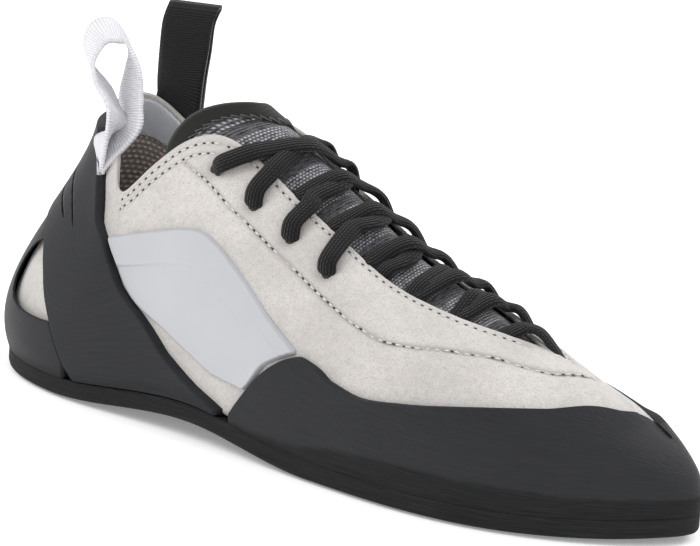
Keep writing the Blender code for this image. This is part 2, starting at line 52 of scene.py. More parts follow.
# %% [markdown]
# ## Camera, floor and light
#
# The photograph is taken from the shoe's lateral side, a little towards the toe, with a long lens
# and the camera rolled four degrees. A long lens far away keeps the shoe's proportions, which a
# short lens close by would stretch at the toe.

# %% Camera
AIM = Vector((0.1048, -0.003, 0.040))
AZIMUTH = math.radians(40.18)
ELEVATION = math.radians(13.88)
ROLL = math.radians(4.0)
DISTANCE = 1.1519
ASIDE = 0.00546
ALOFT = 0.01417
LENS = 195.7

level = Vector((math.cos(AZIMUTH), math.sin(AZIMUTH), 0))
back = Vector((math.sin(AZIMUTH) * math.cos(ELEVATION),
               -math.cos(AZIMUTH) * math.cos(ELEVATION), math.sin(ELEVATION)))
upright = back.cross(level)
right = math.cos(ROLL) * level + math.sin(ROLL) * upright
up = -math.sin(ROLL) * level + math.cos(ROLL) * upright
place = AIM + right * ASIDE + up * ALOFT + back * DISTANCE

camera = bpy.data.objects.new("camera", bpy.data.cameras.new("camera"))
camera.data.lens = LENS
camera.data.sensor_width = 36
camera.data.sensor_fit = "HORIZONTAL"
camera.data.clip_start = 0.01
camera.matrix_world = Matrix((
    (right.x, up.x, back.x, place.x),
    (right.y, up.y, back.y, place.y),
    (right.z, up.z, back.z, place.z),
    (0, 0, 0, 1)))
bpy.context.scene.collection.objects.link(camera)
bpy.context.scene.camera = camera
print("camera at", [round(x, 3) for x in place])

# %% [markdown]
# The studio is a white floor under a pale sky that is a little darker near the horizon, so the
# rubber's sides stay dark. One broad lamp high on the left models the forms, one behind gives the
# rubber its thin bright edges, and a weak one in front lifts the shade on the toe. The floor glows
# faintly, which is painted light: the glow lifts the shoe's shadow on the floor, so that the floor
# stays white close to the shoe, and the plain Standard view keeps it white.

# %% Floor, sky and lamps
FLOOR_HALF = 6
FLOOR_DROP = 0.0005
# painted light: the strength of the floor's faint glow, which lifts the shoe's shadow
FLOOR_PAINTED_GLOW = 0.22


def link(thing):
    bpy.context.scene.collection.objects.link(thing)
    return thing


def lamp(name, where, size, watts):
    """A square soft lamp that looks at the shoe."""
    light = bpy.data.lights.new(name, "AREA")
    light.size = size
    light.energy = watts
    made = link(bpy.data.objects.new(name, light))
    made.location = where
    made.rotation_euler = (AIM - Vector(where)).to_track_quat("-Z", "Y").to_euler()


bm = bmesh.new()
bmesh.ops.create_grid(bm, x_segments=1, y_segments=1, size=FLOOR_HALF)
floor_mesh = bpy.data.meshes.new("floor")
bm.to_mesh(floor_mesh)
bm.free()
floor = link(bpy.data.objects.new("floor", floor_mesh))
floor.location.z = -FLOOR_DROP
paint = bpy.data.materials.new("floor_paint")
paint.use_nodes = True
paint_shader = paint.node_tree.nodes["Principled BSDF"]
paint_shader.inputs["Base Color"].default_value = (0.98, 0.98, 0.98, 1)
paint_shader.inputs["Roughness"].default_value = 0.9
# painted light: the floor glows faintly to lift the shoe's shadow on it
paint_shader.inputs["Emission Color"].default_value = (1, 1, 1, 1)
paint_shader.inputs["Emission Strength"].default_value = FLOOR_PAINTED_GLOW
floor_mesh.materials.append(paint)

sky = bpy.data.worlds.new("sky")
sky.use_nodes = True
sky_nodes = sky.node_tree.nodes
heights = sky_nodes.new("ShaderNodeSeparateXYZ")
sky.node_tree.links.new(sky_nodes.new("ShaderNodeTexCoord").outputs["Generated"], heights.inputs[0])
fade = sky_nodes.new("ShaderNodeValToRGB")
fade.color_ramp.elements[0].color = (0.80, 0.80, 0.81, 1)
fade.color_ramp.elements[1].color = (1.00, 1.00, 1.00, 1)
fade.color_ramp.elements[1].position = 0.75
sky.node_tree.links.new(heights.outputs["Z"], fade.inputs[0])
sky.node_tree.links.new(fade.outputs[0], sky_nodes["Background"].inputs["Color"])
sky_nodes["Background"].inputs["Strength"].default_value = 1.00
bpy.context.scene.world = sky
bpy.context.scene.view_settings.view_transform = "Standard"
lamp("key", (-0.35, -0.75, 1.00), 0.60, 5.5)
lamp("rim", (0.55, 0.70, 0.75), 0.50, 4)
lamp("front", (0.95, -0.60, 0.45), 0.60, 0.9)
print("lamps:", ", ".join("%s %.1f W" % (light.name, light.energy) for light in bpy.data.lights))

# %% [markdown]
# ## The last
#
# A shoemaker's last is the form that the upper is pulled over. Here it is a function: `s` runs
# round the foot's outline from the back of the heel over the lateral side to the toe and back
# along the medial side, and `t` climbs from the foot's edge (0) to the topline (1). Each row of
# the table is one section, and a smooth curve runs through the rows. The same table made the
# solids, so a piece placed by `s` and `t` always lies on them.

# %% Sizes
LENGTH = 0.256
BALL_HALF = 0.040
INSTEP = 0.090
UPPER_WALL = 0.0018
TURN_IN = 0.009
SOLE_THICK = 0.0058
SOLE_EDGE = 0.0026
ARCH = 0.005
TOE_SPRING = 0.0018
HEEL_ROLL = 0.0032
RAND_THICK = 0.0020
CUP_THICK = 0.0020
STRAP_THICK = 0.0028
PANEL_THICK = 0.0009
TONGUE_THICK = 0.0030
TONGUE_CROWN = 0.0062
LACE_WIDTH = 0.0062
LACE_THICK = 0.0028
BLACK_WIDTH = 0.0160
LOOP_THICK = 0.0013
LOOP_HIGH = 0.036
FIT = 0.0006
SOFT_FIT = 0.0009
ORIGIN = np.array([0.100 * LENGTH, -0.05 * BALL_HALF, 0])

# foot x, foot y, swell, rise, reach, drop, top x, top y, top z
SECTIONS = [
    (0.000, -0.03, 0.28, 0.29, -0.10, 0.24, 0.102, 0.08, 0.975),
    (0.026, -0.38, 0.29, 0.29, 0.00, 0.24, 0.135, -0.18, 0.955),
    (0.087, -0.64, 0.19, 0.31, 0.16, 0.22, 0.178, -0.38, 0.895),
    (0.175, -0.77, 0.11, 0.37, 0.36, 0.20, 0.216, -0.59, 0.755),
    (0.281, -0.78, 0.10, 0.42, 0.48, 0.17, 0.272, -0.55, 0.880),
    (0.389, -0.79, 0.13, 0.48, 0.52, 0.15, 0.351, -0.39, 1.010),
    (0.495, -0.83, 0.14, 0.50, 0.58, 0.13, 0.445, -0.31, 0.890),
    (0.602, -0.86, 0.12, 0.50, 0.62, 0.11, 0.536, -0.29, 0.760),
    (0.707, -0.86, 0.11, 0.50, 0.67, 0.09, 0.624, -0.27, 0.645),
    (0.803, -0.76, 0.10, 0.50, 0.70, 0.08, 0.719, -0.15, 0.580),
    (0.886, -0.53, 0.10, 0.53, 0.68, 0.07, 0.804, 0.13, 0.515),
    (0.952, -0.21, 0.09, 0.57, 0.60, 0.06, 0.870, 0.24, 0.434),
    (0.988, 0.08, 0.07, 0.60, 0.52, 0.05, 0.915, 0.30, 0.352),
    (1.000, 0.29, 0.06, 0.60, 0.50, 0.05, 0.936, 0.33, 0.310),
    (0.984, 0.43, 0.06, 0.60, 0.52, 0.06, 0.915, 0.30, 0.352),
    (0.945, 0.60, 0.07, 0.58, 0.55, 0.09, 0.870, 0.24, 0.434),
    (0.887, 0.79, 0.08, 0.55, 0.56, 0.12, 0.804, 0.13, 0.515),
    (0.808, 0.92, 0.08, 0.53, 0.57, 0.13, 0.724, 0.31, 0.575),
    (0.712, 0.94, 0.09, 0.50, 0.57, 0.13, 0.628, 0.34, 0.650),
    (0.607, 0.83, 0.12, 0.50, 0.56, 0.13, 0.538, 0.36, 0.765),
    (0.497, 0.66, 0.15, 0.48, 0.53, 0.14, 0.448, 0.38, 0.895),
    (0.387, 0.57, 0.16, 0.45, 0.48, 0.15, 0.355, 0.41, 1.010),
    (0.278, 0.56, 0.14, 0.42, 0.42, 0.17, 0.274, 0.53, 0.935),
    (0.173, 0.58, 0.12, 0.37, 0.33, 0.20, 0.191, 0.59, 0.870),
    (0.084, 0.51, 0.16, 0.31, 0.18, 0.23, 0.134, 0.53, 0.955),
    (0.022, 0.31, 0.25, 0.30, 0.02, 0.26, 0.108, 0.33, 1.000),
]
THROAT_ROW = 10
TOE_ROW = 13
RIDGE_LEAN = 0.25
COUNT = len(SECTIONS)


# %% The last as a function
def closed_slopes(knots, values):
    """Slopes of the closed cubic spline through values at growing knots, the last knot the first."""
    step = np.diff(knots)
    n = len(step)
    rise = (np.roll(values, -1, 0) - values) / step[:, None]
    system = np.zeros((n, n))
    wanted = np.zeros_like(values)
    for i in range(n):
        system[i, i - 1] += step[i]
        system[i, i] += 2 * (step[i - 1] + step[i])
        system[i, (i + 1) % n] += step[i - 1]
        wanted[i] = 3 * (step[i] * rise[i - 1] + step[i - 1] * rise[i])
    return np.linalg.solve(system, wanted)


ROWS = np.array(SECTIONS) * [LENGTH, BALL_HALF, BALL_HALF, 1, 1, INSTEP, LENGTH, BALL_HALF, INSTEP]
GAPS = np.linalg.norm(np.roll(ROWS[:, :2], -1, 0) - ROWS[:, :2], axis=1)
SLOPES = closed_slopes(np.concatenate([[0], np.cumsum(GAPS)]), ROWS)


def row_at(s):
    """A section's nine numbers at station s, and how they change along the outline."""
    s = np.mod(s, COUNT)
    i = np.minimum(np.floor(s).astype(int), COUNT - 1)
    j = (i + 1) % COUNT
    u = (s - i)[:, None]
    h = GAPS[i][:, None]
    a, b, m, n = ROWS[i], ROWS[j], SLOPES[i] * h, SLOPES[j] * h
    value = (2*u**3 - 3*u**2 + 1)*a + (u**3 - 2*u**2 + u)*m + (3*u**2 - 2*u**3)*b + (u**3 - u**2)*n
    change = ((6*u**2 - 6*u)*(a - b) + (3*u**2 - 4*u + 1)*m + (3*u**2 - 2*u)*n) / h
    return value, change


def unit(v):
    return v / np.linalg.norm(v, axis=-1, keepdims=True)


def ease(x, start, end):
    """0 before start, 1 after end, and a smooth step between."""
    u = np.clip((x - start) / (end - start), 0, 1)
    return u * u * (3 - 2 * u)


def through(table, x):
    """A smooth curve through a table's points, which never overshoots them."""
    xs, ys = np.array(table, float).T
    h = np.diff(xs)
    d = np.diff(ys) / h
    inner = np.where(d[1:] * d[:-1] > 0, 2 * d[1:] * d[:-1] / (d[1:] + d[:-1] + 1e-12), 0)
    m = np.concatenate([d[:1], inner, d[-1:]])
    x = np.clip(x, xs[0], xs[-1])
    i = np.clip(np.searchsorted(xs, x) - 1, 0, len(h) - 1)
    u = (x - xs[i]) / h[i]
    return ((2*u**3 - 3*u**2 + 1)*ys[i] + (u**3 - 2*u**2 + u)*h[i]*m[i]
            + (3*u**2 - 2*u**3)*ys[i + 1] + (u**3 - u**2)*h[i]*m[i + 1])


def lift(x):
    """How far the sole's underside is off the floor: the arch and the toe spring."""
    share = x / LENGTH
    arch = ease(share, 0.15, 0.385) - ease(share, 0.385, 0.59)
    spring = np.clip((share - 0.80) / 0.20, 0, None) ** 2
    return ARCH * arch + TOE_SPRING * spring


def outward(s):
    """Unit vectors in plan, square to the foot's outline at stations s."""
    along = unit(row_at(s)[1][:, :2])
    return np.stack([along[:, 1], -along[:, 0]], 1)


def ridge(s):
    """How far stations s are past the throat's end, and the way the vamp's ridge faces there."""
    past = TOE_ROW - THROAT_ROW - np.abs(np.mod(s, COUNT) - TOE_ROW)
    near = TOE_ROW - np.clip(np.abs(np.mod(s, COUNT) - TOE_ROW), 1, None)
    run = unit(row_at(near + 0.1)[0][:, 6:9] - row_at(near - 0.1)[0][:, 6:9])
    top = np.array([0, RIDGE_LEAN, 1.0])
    return past, unit(top - (run @ top)[:, None] * run)


def section(s):
    """The four control points of the sections at stations s."""
    row = row_at(s)[0]
    top = row[:, 6:9].copy()
    past, facing = ridge(s)
    shared = past >= -1e-6
    top[shared] = (top[shared] + row_at(2 * TOE_ROW - s)[0][shared, 6:9]) / 2
    base = SOLE_THICK + FIT + lift(row[:, 0])
    foot = np.column_stack([row[:, :2], base])
    side = np.column_stack([row[:, :2] + outward(s) * row[:, 2:3],
                            base + row[:, 3] * (top[:, 2] - base)])
    shoulder = np.column_stack([(foot - top)[:, :2] * row[:, 4:5], -row[:, 5]])
    flat = shoulder - (shoulder * facing).sum(1, keepdims=True) * facing
    shoulder = shoulder + (flat - shoulder) * ease(past, 0, 1)[:, None]
    return foot, side, top + shoulder, top


def bare_surface(s, t):
    a, b, c, d = section(s)
    t = t[:, None]
    return (1 - t)**3 * a + 3*(1 - t)**2 * t * b + 3*(1 - t) * t**2 * c + t**3 * d - ORIGIN


def normal(s, t):
    """The surface's outward normals; on the vamp's ridge both sides share one."""
    near = np.minimum(t, 0.97)
    across = bare_surface(s + 0.01, near) - bare_surface(s - 0.01, near)
    climb = bare_surface(s, np.minimum(t + 0.01, 1)) - bare_surface(s, np.maximum(t - 0.01, 0))
    n = unit(np.cross(across, climb))
    past, facing = ridge(s)
    share = (ease(t, 0.75, 1) * (past >= -1e-6))[:, None]
    return unit(n + (facing - n) * share)


def surface(s, t, off=0.0):
    """Points at stations s and heights t, pushed out of the last by off."""
    s, t, off = np.broadcast_arrays(*(np.asarray(v, float) for v in (s, t, off)))
    flat = (s.ravel(), t.ravel())
    points = bare_surface(*flat) + normal(*flat) * off.ravel()[:, None]
    return points.reshape(s.shape + (3,))


print("last: %.0f mm long, ball %.0f mm wide" % (LENGTH * 1000, BALL_HALF * 2000))

# %% [markdown]
# ## From a flat grid to a piece
#
# Every sheet here is cut flat first. `flat_grid` makes the cloth with Blender's own grid operator,
# and gives the place of each vertex across (`u`) and along (`v`), from 0 to 1. A piece then says
# where its `u` and `v` lie on the last, and `lay` carries the vertices there. The flat lengths
# stay behind as a UV map in metres, so ribs and weaves follow the cloth at their real size. A
# Solidify modifier then gives the sheet its thickness, and closes it.

# %% Flat cloth and finished pieces
def flat_grid(columns, rows):
    bm = bmesh.new()
    bmesh.ops.create_grid(bm, x_segments=columns, y_segments=rows, size=0.5)
    flat = np.array([vert.co[:2] for vert in bm.verts]) + 0.5
    return bm, flat[:, 0], flat[:, 1]


def lay(bm, points, across, along, **attributes):
    """Carries a grid's vertices to points, and keeps its flat measures and other values."""
    pattern = bm.loops.layers.uv.new("pattern")
    layers = [(bm.verts.layers.float.new(name), values) for name, values in attributes.items()]
    for i, (vert, point) in enumerate(zip(bm.verts, points)):
        vert.co = point
        for layer, values in layers:
            vert[layer] = values[i]
    for face in bm.faces:
        for loop in face.loops:
            loop[pattern].uv = (across[loop.vert.index], along[loop.vert.index])


def crowd(x, strength=0.85):
    """Shares from 0 to 1 that lie closer at both ends, where a sheet's edge is rounded."""
    return x - strength * np.sin(2 * np.pi * x) / (2 * np.pi)


def finish_piece(name, bm, looks, stands_for=(), weld=0.0):
    """The bmesh as a smooth object on the shoe."""
    if weld:
        bmesh.ops.remove_doubles(bm, verts=bm.verts, dist=weld)
    mesh = bpy.data.meshes.new(name)
    bm.to_mesh(mesh)
    bm.free()
    mesh.materials.append(looks)
    mesh.shade_smooth()
    piece = link(bpy.data.objects.new(name, mesh))
    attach(piece, "root")
    if stands_for:
        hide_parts(*stands_for)
    print("%s: %d faces" % (name, len(mesh.polygons)))
    return piece


def walled(piece, wall, side=-1):
    """A wall on an open sheet, so that it is a closed solid."""
    solid = piece.modifiers.new("wall", "SOLIDIFY")
    solid.thickness = wall
    solid.offset = side
    return piece


def curve(points, steps):
    """A smooth curve through points, with steps pieces between each two."""
    points = np.asarray(points, float)
    before = np.concatenate([2 * points[:1] - points[1:2], points, 2 * points[-1:] - points[-2:-1]])
    made = []
    for i in range(len(points) - 1):
        a, b, c, d = before[i:i + 4]
        for u in np.arange(steps) / steps:
            bend = (2*a - 5*b + 4*c - d)*u**2 + (3*b - a - 3*c + d)*u**3
            made.append(0.5 * (2*b + (c - a)*u + bend))
    return np.array(made + [points[-1]])


def evenly(points, pitch):
    """Points a pitch apart along a line."""
    along = np.concatenate([[0], np.cumsum(np.linalg.norm(np.diff(points, axis=0), axis=1))])
    count = max(int(round(along[-1] / pitch)), 1)
    even = np.linspace(0, along[-1], count + 1)
    return np.column_stack([np.interp(even, along, points[:, k]) for k in range(points.shape[1])])


def apart(points, line):
    """How far each point is from a line of short straight pieces."""
    begins = line[:-1]
    runs = line[1:] - begins
    squares = (runs ** 2).sum(1) + 1e-18
    near = np.empty(len(points))
    for first in range(0, len(points), 4000):
        offsets = points[first:first + 4000, None] - begins
        shares = np.clip((offsets * runs).sum(2) / squares, 0, 1)
        gaps = offsets - shares[..., None] * runs
        near[first:first + 4000] = np.sqrt((gaps ** 2).sum(2).min(1))
    return near


# %% [markdown]
# ## Finishes
#
# Each finish is a small node tree. `add_node` places a node and joins its inputs in one line, and
# `plain` starts a material. What is the same all over a surface is set on the shader itself. Most
# finishes read Object coordinates. Cloth, tape and braid read their own flat lengths instead, so
# that their pattern bends with them.

# %% Node helpers
def add_node(finish, kind, inputs=(), **settings):
    made = finish.node_tree.nodes.new("ShaderNode" + kind)
    for key, value in settings.items():
        setattr(made, key, value)
    for key, value in dict(inputs).items():
        if isinstance(value, bpy.types.NodeSocket):
            finish.node_tree.links.new(value, made.inputs[key])
        else:
            made.inputs[key].default_value = value
    return made.outputs[0]


def plain(name, roughness, **sockets):
    finish = bpy.data.materials.new(name)
    finish.use_nodes = True
    shader = finish.node_tree.nodes["Principled BSDF"]
    shader.inputs["Roughness"].default_value = roughness
    for key, value in sockets.items():
        shader.inputs[key.replace("_", " ")].default_value = value
    return finish, shader


def math_node(finish, operation, *values):
    return add_node(finish, "Math", dict(enumerate(values)), operation=operation)


def where_on(finish, source, scale=(1, 1, 1), turn=0.0):
    """Object or UV coordinates, scaled and turned."""
    coords = finish.node_tree.nodes.new("ShaderNodeTexCoord")
    return add_node(finish, "Mapping", {"Vector": coords.outputs[source], "Scale": scale,
                                        "Rotation": (0, 0, turn)})


def painted(finish, name):
    """The value that a piece's own attribute has at each place."""
    made = finish.node_tree.nodes.new("ShaderNodeAttribute")
    made.attribute_name = name
    return made.outputs["Fac"]


def colour_is(finish, shader, colour):
    finish.node_tree.links.new(colour, shader.inputs["Base Color"])


def noise(finish, where, scale, detail=3.0, rough=0.6):
    return add_node(finish, "TexNoise", {"Vector": where, "Scale": scale, "Detail": detail,
                                         "Roughness": rough})


def between(finish, share, low, high, a, b):
    """A colour or value from a to b, as share goes from low to high."""
    ramp = finish.node_tree.nodes.new("ShaderNodeValToRGB")
    ramp.color_ramp.elements[0].position = low
    ramp.color_ramp.elements[1].position = high
    ramp.color_ramp.elements[0].color = (*a, 1)
    ramp.color_ramp.elements[1].color = (*b, 1)
    finish.node_tree.links.new(share, ramp.inputs[0])
    return ramp.outputs[0]


def mix(finish, share, a, b, way="MIX"):
    made = finish.node_tree.nodes.new("ShaderNodeMix")
    made.data_type = "RGBA"
    made.blend_type = way
    for socket, value in ((made.inputs[0], share), (made.inputs[6], a), (made.inputs[7], b)):
        if isinstance(value, bpy.types.NodeSocket):
            finish.node_tree.links.new(value, socket)
        elif isinstance(value, tuple):
            socket.default_value = (*value, 1)
        else:
            socket.default_value = value
    return made.outputs[2]


def bumps(finish, shader, *layers):
    """Bump layers on a shader, each a height, a strength and a depth in metres."""
    facing = None
    for height, strength, depth in layers:
        inputs = {"Height": height, "Strength": strength, "Distance": depth}
        if facing is not None:
            inputs["Normal"] = facing
        facing = add_node(finish, "Bump", inputs)
    finish.node_tree.links.new(facing, shader.inputs["Normal"])


# %% [markdown]
# Suede is leather with its flesh side out. It has no gloss, a short nap that catches light at the
# edges, a salt-and-pepper grain about half a millimetre across, and soft clouds where the nap was
# brushed another way. An attribute painted later along the seams and round the eyelets makes the
# floor of their grooves and dents a little darker: this is painted shade.

# %% Suede
def suede_finish(name, light, dark, fleck):
    finish, shader = plain(name, 0.95, Specular_IOR_Level=0.15, Sheen_Weight=0.35, Sheen_Roughness=0.5)
    where = where_on(finish, "Object")
    clouds = noise(finish, where, 45, 4)
    grain = noise(finish, where, 2100, 2, 0.75)
    nap = noise(finish, where, 520, 5, 0.7)
    colour = between(finish, clouds, 0.35, 0.65, dark, light)
    colour = mix(finish, between(finish, grain, 0.50, 0.72, (0, 0, 0), (1, 1, 1)), colour, fleck)
    tufts = between(finish, nap, 0.30, 0.70, (0.90, 0.90, 0.90), (1.05, 1.05, 1.05))
    colour = mix(finish, 1.0, colour, tufts, "MULTIPLY")
    # painted shade: darker in the seams' grooves and the eyelets' dents
    colour = mix(finish, painted(finish, "hollow"), colour, tuple(0.52 * c for c in dark))
    colour_is(finish, shader, colour)
    bumps(finish, shader, (nap, 0.45, 0.0006), (grain, 0.35, 0.0003))
    return finish


SUEDE = suede_finish("suede", (0.575, 0.548, 0.526), (0.492, 0.468, 0.449), (0.36, 0.335, 0.315))


# %% [markdown]
# The rubber is pressed smooth, dark and slightly blue. Along the ground it is rougher and darker,
# because sole and rand are ground flush there on a belt, which leaves fine lines. The `ground`
# attribute says where. Higher up, faint slanting strokes come from the brush that cleans off glue,
# and the `brushed` attribute makes them strongest along the rand's upper edge.

# %% Rubber
def rubber_finish():
    finish, shader = plain("rubber", 0.5, Specular_IOR_Level=0.22)
    where = where_on(finish, "Object")
    clouds = noise(finish, where, 38, 5)
    dust = noise(finish, where, 900, 3)
    belt = noise(finish, where_on(finish, "UV", (55, 1900, 1)), 1.0, 4, 0.7)
    strokes = noise(finish, where_on(finish, "UV", (110, 1300, 1), 0.50), 1.0, 3)
    ground = painted(finish, "ground")
    smooth = between(finish, clouds, 0.3, 0.7, (0.012, 0.0125, 0.0145), (0.017, 0.0177, 0.020))
    rough = between(finish, belt, 0.3, 0.75, (0.0055, 0.0057, 0.0062), (0.0165, 0.0171, 0.0182))
    colour = mix(finish, ground, smooth, rough)
    streaks = between(finish, belt, 0.35, 0.7, (0.78, 0.78, 0.78), (1.22, 1.22, 1.22))
    colour_is(finish, shader, mix(finish, 1.0, colour, streaks, "MULTIPLY"))
    dull = between(finish, clouds, 0.3, 0.7, (0.44, 0.44, 0.44), (0.58, 0.58, 0.58))
    dull = mix(finish, ground, dull, (0.78, 0.78, 0.78))
    finish.node_tree.links.new(dull, shader.inputs["Roughness"])
    lines = math_node(finish, "MULTIPLY", belt, ground)
    slants = math_node(finish, "MULTIPLY", strokes, painted(finish, "brushed"))
    bumps(finish, shader, (lines, 0.6, 0.0006), (slants, 0.8, 0.0010), (belt, 0.25, 0.0004),
          (dust, 0.12, 0.0002))
    return finish


RUBBER = rubber_finish()

# %% [markdown]
# The side panel is a thin moulded film, cool pale grey with a satin gloss, almost without texture.
# The tapes are ribbed: a grosgrain has a fine cord across its width every three quarters of a
# millimetre. The tongue is a heather knit, with bands of pale dashes between plain dark ribs. The
# lace is braided in ribs along its length.

# %% Film, tapes, knit and braid
def film_finish():
    finish, shader = plain("film", 0.36, Specular_IOR_Level=0.45, Coat_Weight=0.12, Coat_Roughness=0.3)
    where = where_on(finish, "Object")
    haze = noise(finish, where, 30, 2)
    colour_is(finish, shader, between(finish, haze, 0.3, 0.7, (0.410, 0.419, 0.440),
                                      (0.434, 0.442, 0.462)))
    bumps(finish, shader, (noise(finish, where, 1200, 2), 0.05, 0.0002))
    return finish


def waves(finish, coordinate, pitch, shift=0.0):
    """A sine from 0 to 1 along a coordinate in metres."""
    turn = math_node(finish, "MULTIPLY_ADD", coordinate, 2 * math.pi / pitch, shift)
    return math_node(finish, "MULTIPLY_ADD", math_node(finish, "SINE", turn), 0.5, 0.5)


def flat_places(finish):
    """The two measures of the piece's own flat cloth, across and along."""
    coords = finish.node_tree.nodes.new("ShaderNodeTexCoord")
    parts = finish.node_tree.nodes.new("ShaderNodeSeparateXYZ")
    finish.node_tree.links.new(coords.outputs["UV"], parts.inputs[0])
    return parts.outputs[0], parts.outputs[1]


def yarns(finish, across, along, detail=2):
    """Noise for single yarns, so many to the metre in each way of the flat cloth."""
    return noise(finish, where_on(finish, "UV", (across, along, 1)), 1.0, detail)


def tape_finish(name, valley_shade, crest_highlight, pitch, roughness):
    finish, shader = plain(name, roughness, Specular_IOR_Level=0.3, Sheen_Weight=0.15)
    cords = waves(finish, flat_places(finish)[1], pitch)
    threads = yarns(finish, 3000, 600)
    # painted shade in the valleys between the cords and painted highlight on their crests
    colour = mix(finish, cords, valley_shade, crest_highlight)
    tint = between(finish, threads, 0.3, 0.7, (0.88, 0.88, 0.88), (1.06, 1.06, 1.06))
    colour_is(finish, shader, mix(finish, 1.0, colour, tint, "MULTIPLY"))
    bumps(finish, shader, (cords, 0.6, 0.0003), (threads, 0.3, 0.0002))
    return finish


def knit_finish():
    finish, shader = plain("knit", 0.92, Specular_IOR_Level=0.2, Sheen_Weight=0.25)
    across, along = flat_places(finish)
    course = 0.00105
    courses_in_band = 9
    pale_share = 0.56
    band = math_node(finish, "FRACT", math_node(finish, "DIVIDE", along, course * courses_in_band))
    pale_rows = math_node(finish, "LESS_THAN", band, pale_share)
    rows = waves(finish, along, course)
    row = math_node(finish, "FLOOR", math_node(finish, "DIVIDE", along, course))
    slip = math_node(finish, "MULTIPLY", row, 0.00047)
    dashes = waves(finish, math_node(finish, "ADD", across, slip), 0.0012)
    heather = yarns(finish, 420, 950)
    uneven = between(finish, heather, 0.32, 0.54, (0.2, 0.2, 0.2), (1, 1, 1))
    pale = math_node(finish, "MULTIPLY", math_node(finish, "MULTIPLY", rows, dashes), pale_rows)
    pale = math_node(finish, "MULTIPLY", pale, uneven)
    dark = between(finish, heather, 0.35, 0.65, (0.022, 0.022, 0.025), (0.095, 0.095, 0.105))
    colour_is(finish, shader, mix(finish, pale, dark, (0.62, 0.62, 0.66)))
    loops = math_node(finish, "MULTIPLY", rows, math_node(finish, "MULTIPLY_ADD", dashes, 0.5, 0.5))
    bumps(finish, shader, (loops, 0.8, 0.0005))
    return finish


def braid_finish():
    finish, shader = plain("braid", 0.8, Specular_IOR_Level=0.2, Sheen_Weight=0.1)
    around, along = flat_places(finish)
    rib = LACE_WIDTH / 6.5
    ribs = waves(finish, around, rib)
    which = math_node(finish, "FLOOR", math_node(finish, "DIVIDE", around, rib))
    odd = math_node(finish, "MULTIPLY", math_node(finish, "MODULO", which, 2.0), 0.0006)
    dashes = waves(finish, math_node(finish, "ADD", along, odd), 0.0012)
    height = math_node(finish, "MULTIPLY", ribs, math_node(finish, "MULTIPLY_ADD", dashes, 0.55, 0.45))
    # painted highlight on the ribs' tops and painted shade between them, as the colour follows their
    # height
    lit = math_node(finish, "MULTIPLY", height, yarns(finish, 900, 1400))
    colour_is(finish, shader, between(finish, lit, 0.05, 0.62, (0.0022, 0.0022, 0.0026),
                                      (0.018, 0.0175, 0.0205)))
    bumps(finish, shader, (height, 0.9, 0.0006))
    return finish


def mesh_finish(name, yarn, gap, pitch):
    """A knitted lining: small knots in staggered rows."""
    finish, shader = plain(name, 0.9, Specular_IOR_Level=0.2, Sheen_Weight=0.2)
    across, along = flat_places(finish)
    row = math_node(finish, "FLOOR", math_node(finish, "DIVIDE", along, pitch))
    slip = math_node(finish, "MULTIPLY", math_node(finish, "MODULO", row, 2.0), pitch)
    knots_a = waves(finish, math_node(finish, "ADD", across, slip), pitch * 2)
    knots_b = waves(finish, along, pitch)
    knots = math_node(finish, "MULTIPLY", knots_a, knots_b)
    wool = yarns(finish, 900, 900, 3)
    share = math_node(finish, "MULTIPLY", knots, wool)
    colour_is(finish, shader, between(finish, share, 0.05, 0.40, gap, yarn))
    bumps(finish, shader, (knots, 0.8, 0.0007), (wool, 0.3, 0.0003))
    return finish


def thread_finish(name, colour, roughness=0.8):
    finish, shader = plain(name, roughness, Sheen_Weight=0.2)
    twist = noise(finish, where_on(finish, "Object"), 2500, 2)
    dim = tuple(0.75 * c for c in colour)
    colour_is(finish, shader, between(finish, twist, 0.3, 0.7, dim, colour))
    return finish


FILM = film_finish()
WHITE_TAPE = tape_finish("white_tape", (0.62, 0.61, 0.65), (0.78, 0.78, 0.80), 0.00075, 0.6)
BLACK_TAPE = tape_finish("black_tape", (0.0012, 0.0012, 0.0015), (0.0060, 0.0058, 0.0068),
                         0.00085, 0.6)
KNIT = knit_finish()
BRAID = braid_finish()
BINDING = tape_finish("binding_tape", (0.008, 0.008, 0.0065), (0.017, 0.017, 0.0145), 0.0006, 0.85)
LINING = mesh_finish("lining_mesh", (0.80, 0.72, 0.66), (0.36, 0.30, 0.27), 0.0022)
COOL_MESH = mesh_finish("cool_mesh", (0.95, 0.95, 0.97), (0.60, 0.62, 0.67), 0.0024)
INSOLE_CLOTH = mesh_finish("insole_cloth", (0.24, 0.23, 0.22), (0.06, 0.058, 0.055), 0.0013)
PALE_THREAD = thread_finish("pale_thread", (0.68, 0.65, 0.60))
GREY_THREAD = thread_finish("grey_thread", (0.085, 0.085, 0.080))
# painted shade: the dark inside needle holes and punched eyelets, laid on small flat beads
HOLE_SHADE = thread_finish("painted_hole_shade", (0.035, 0.030, 0.027), 0.95)
print("finishes:", ", ".join(m.name for m in bpy.data.materials))
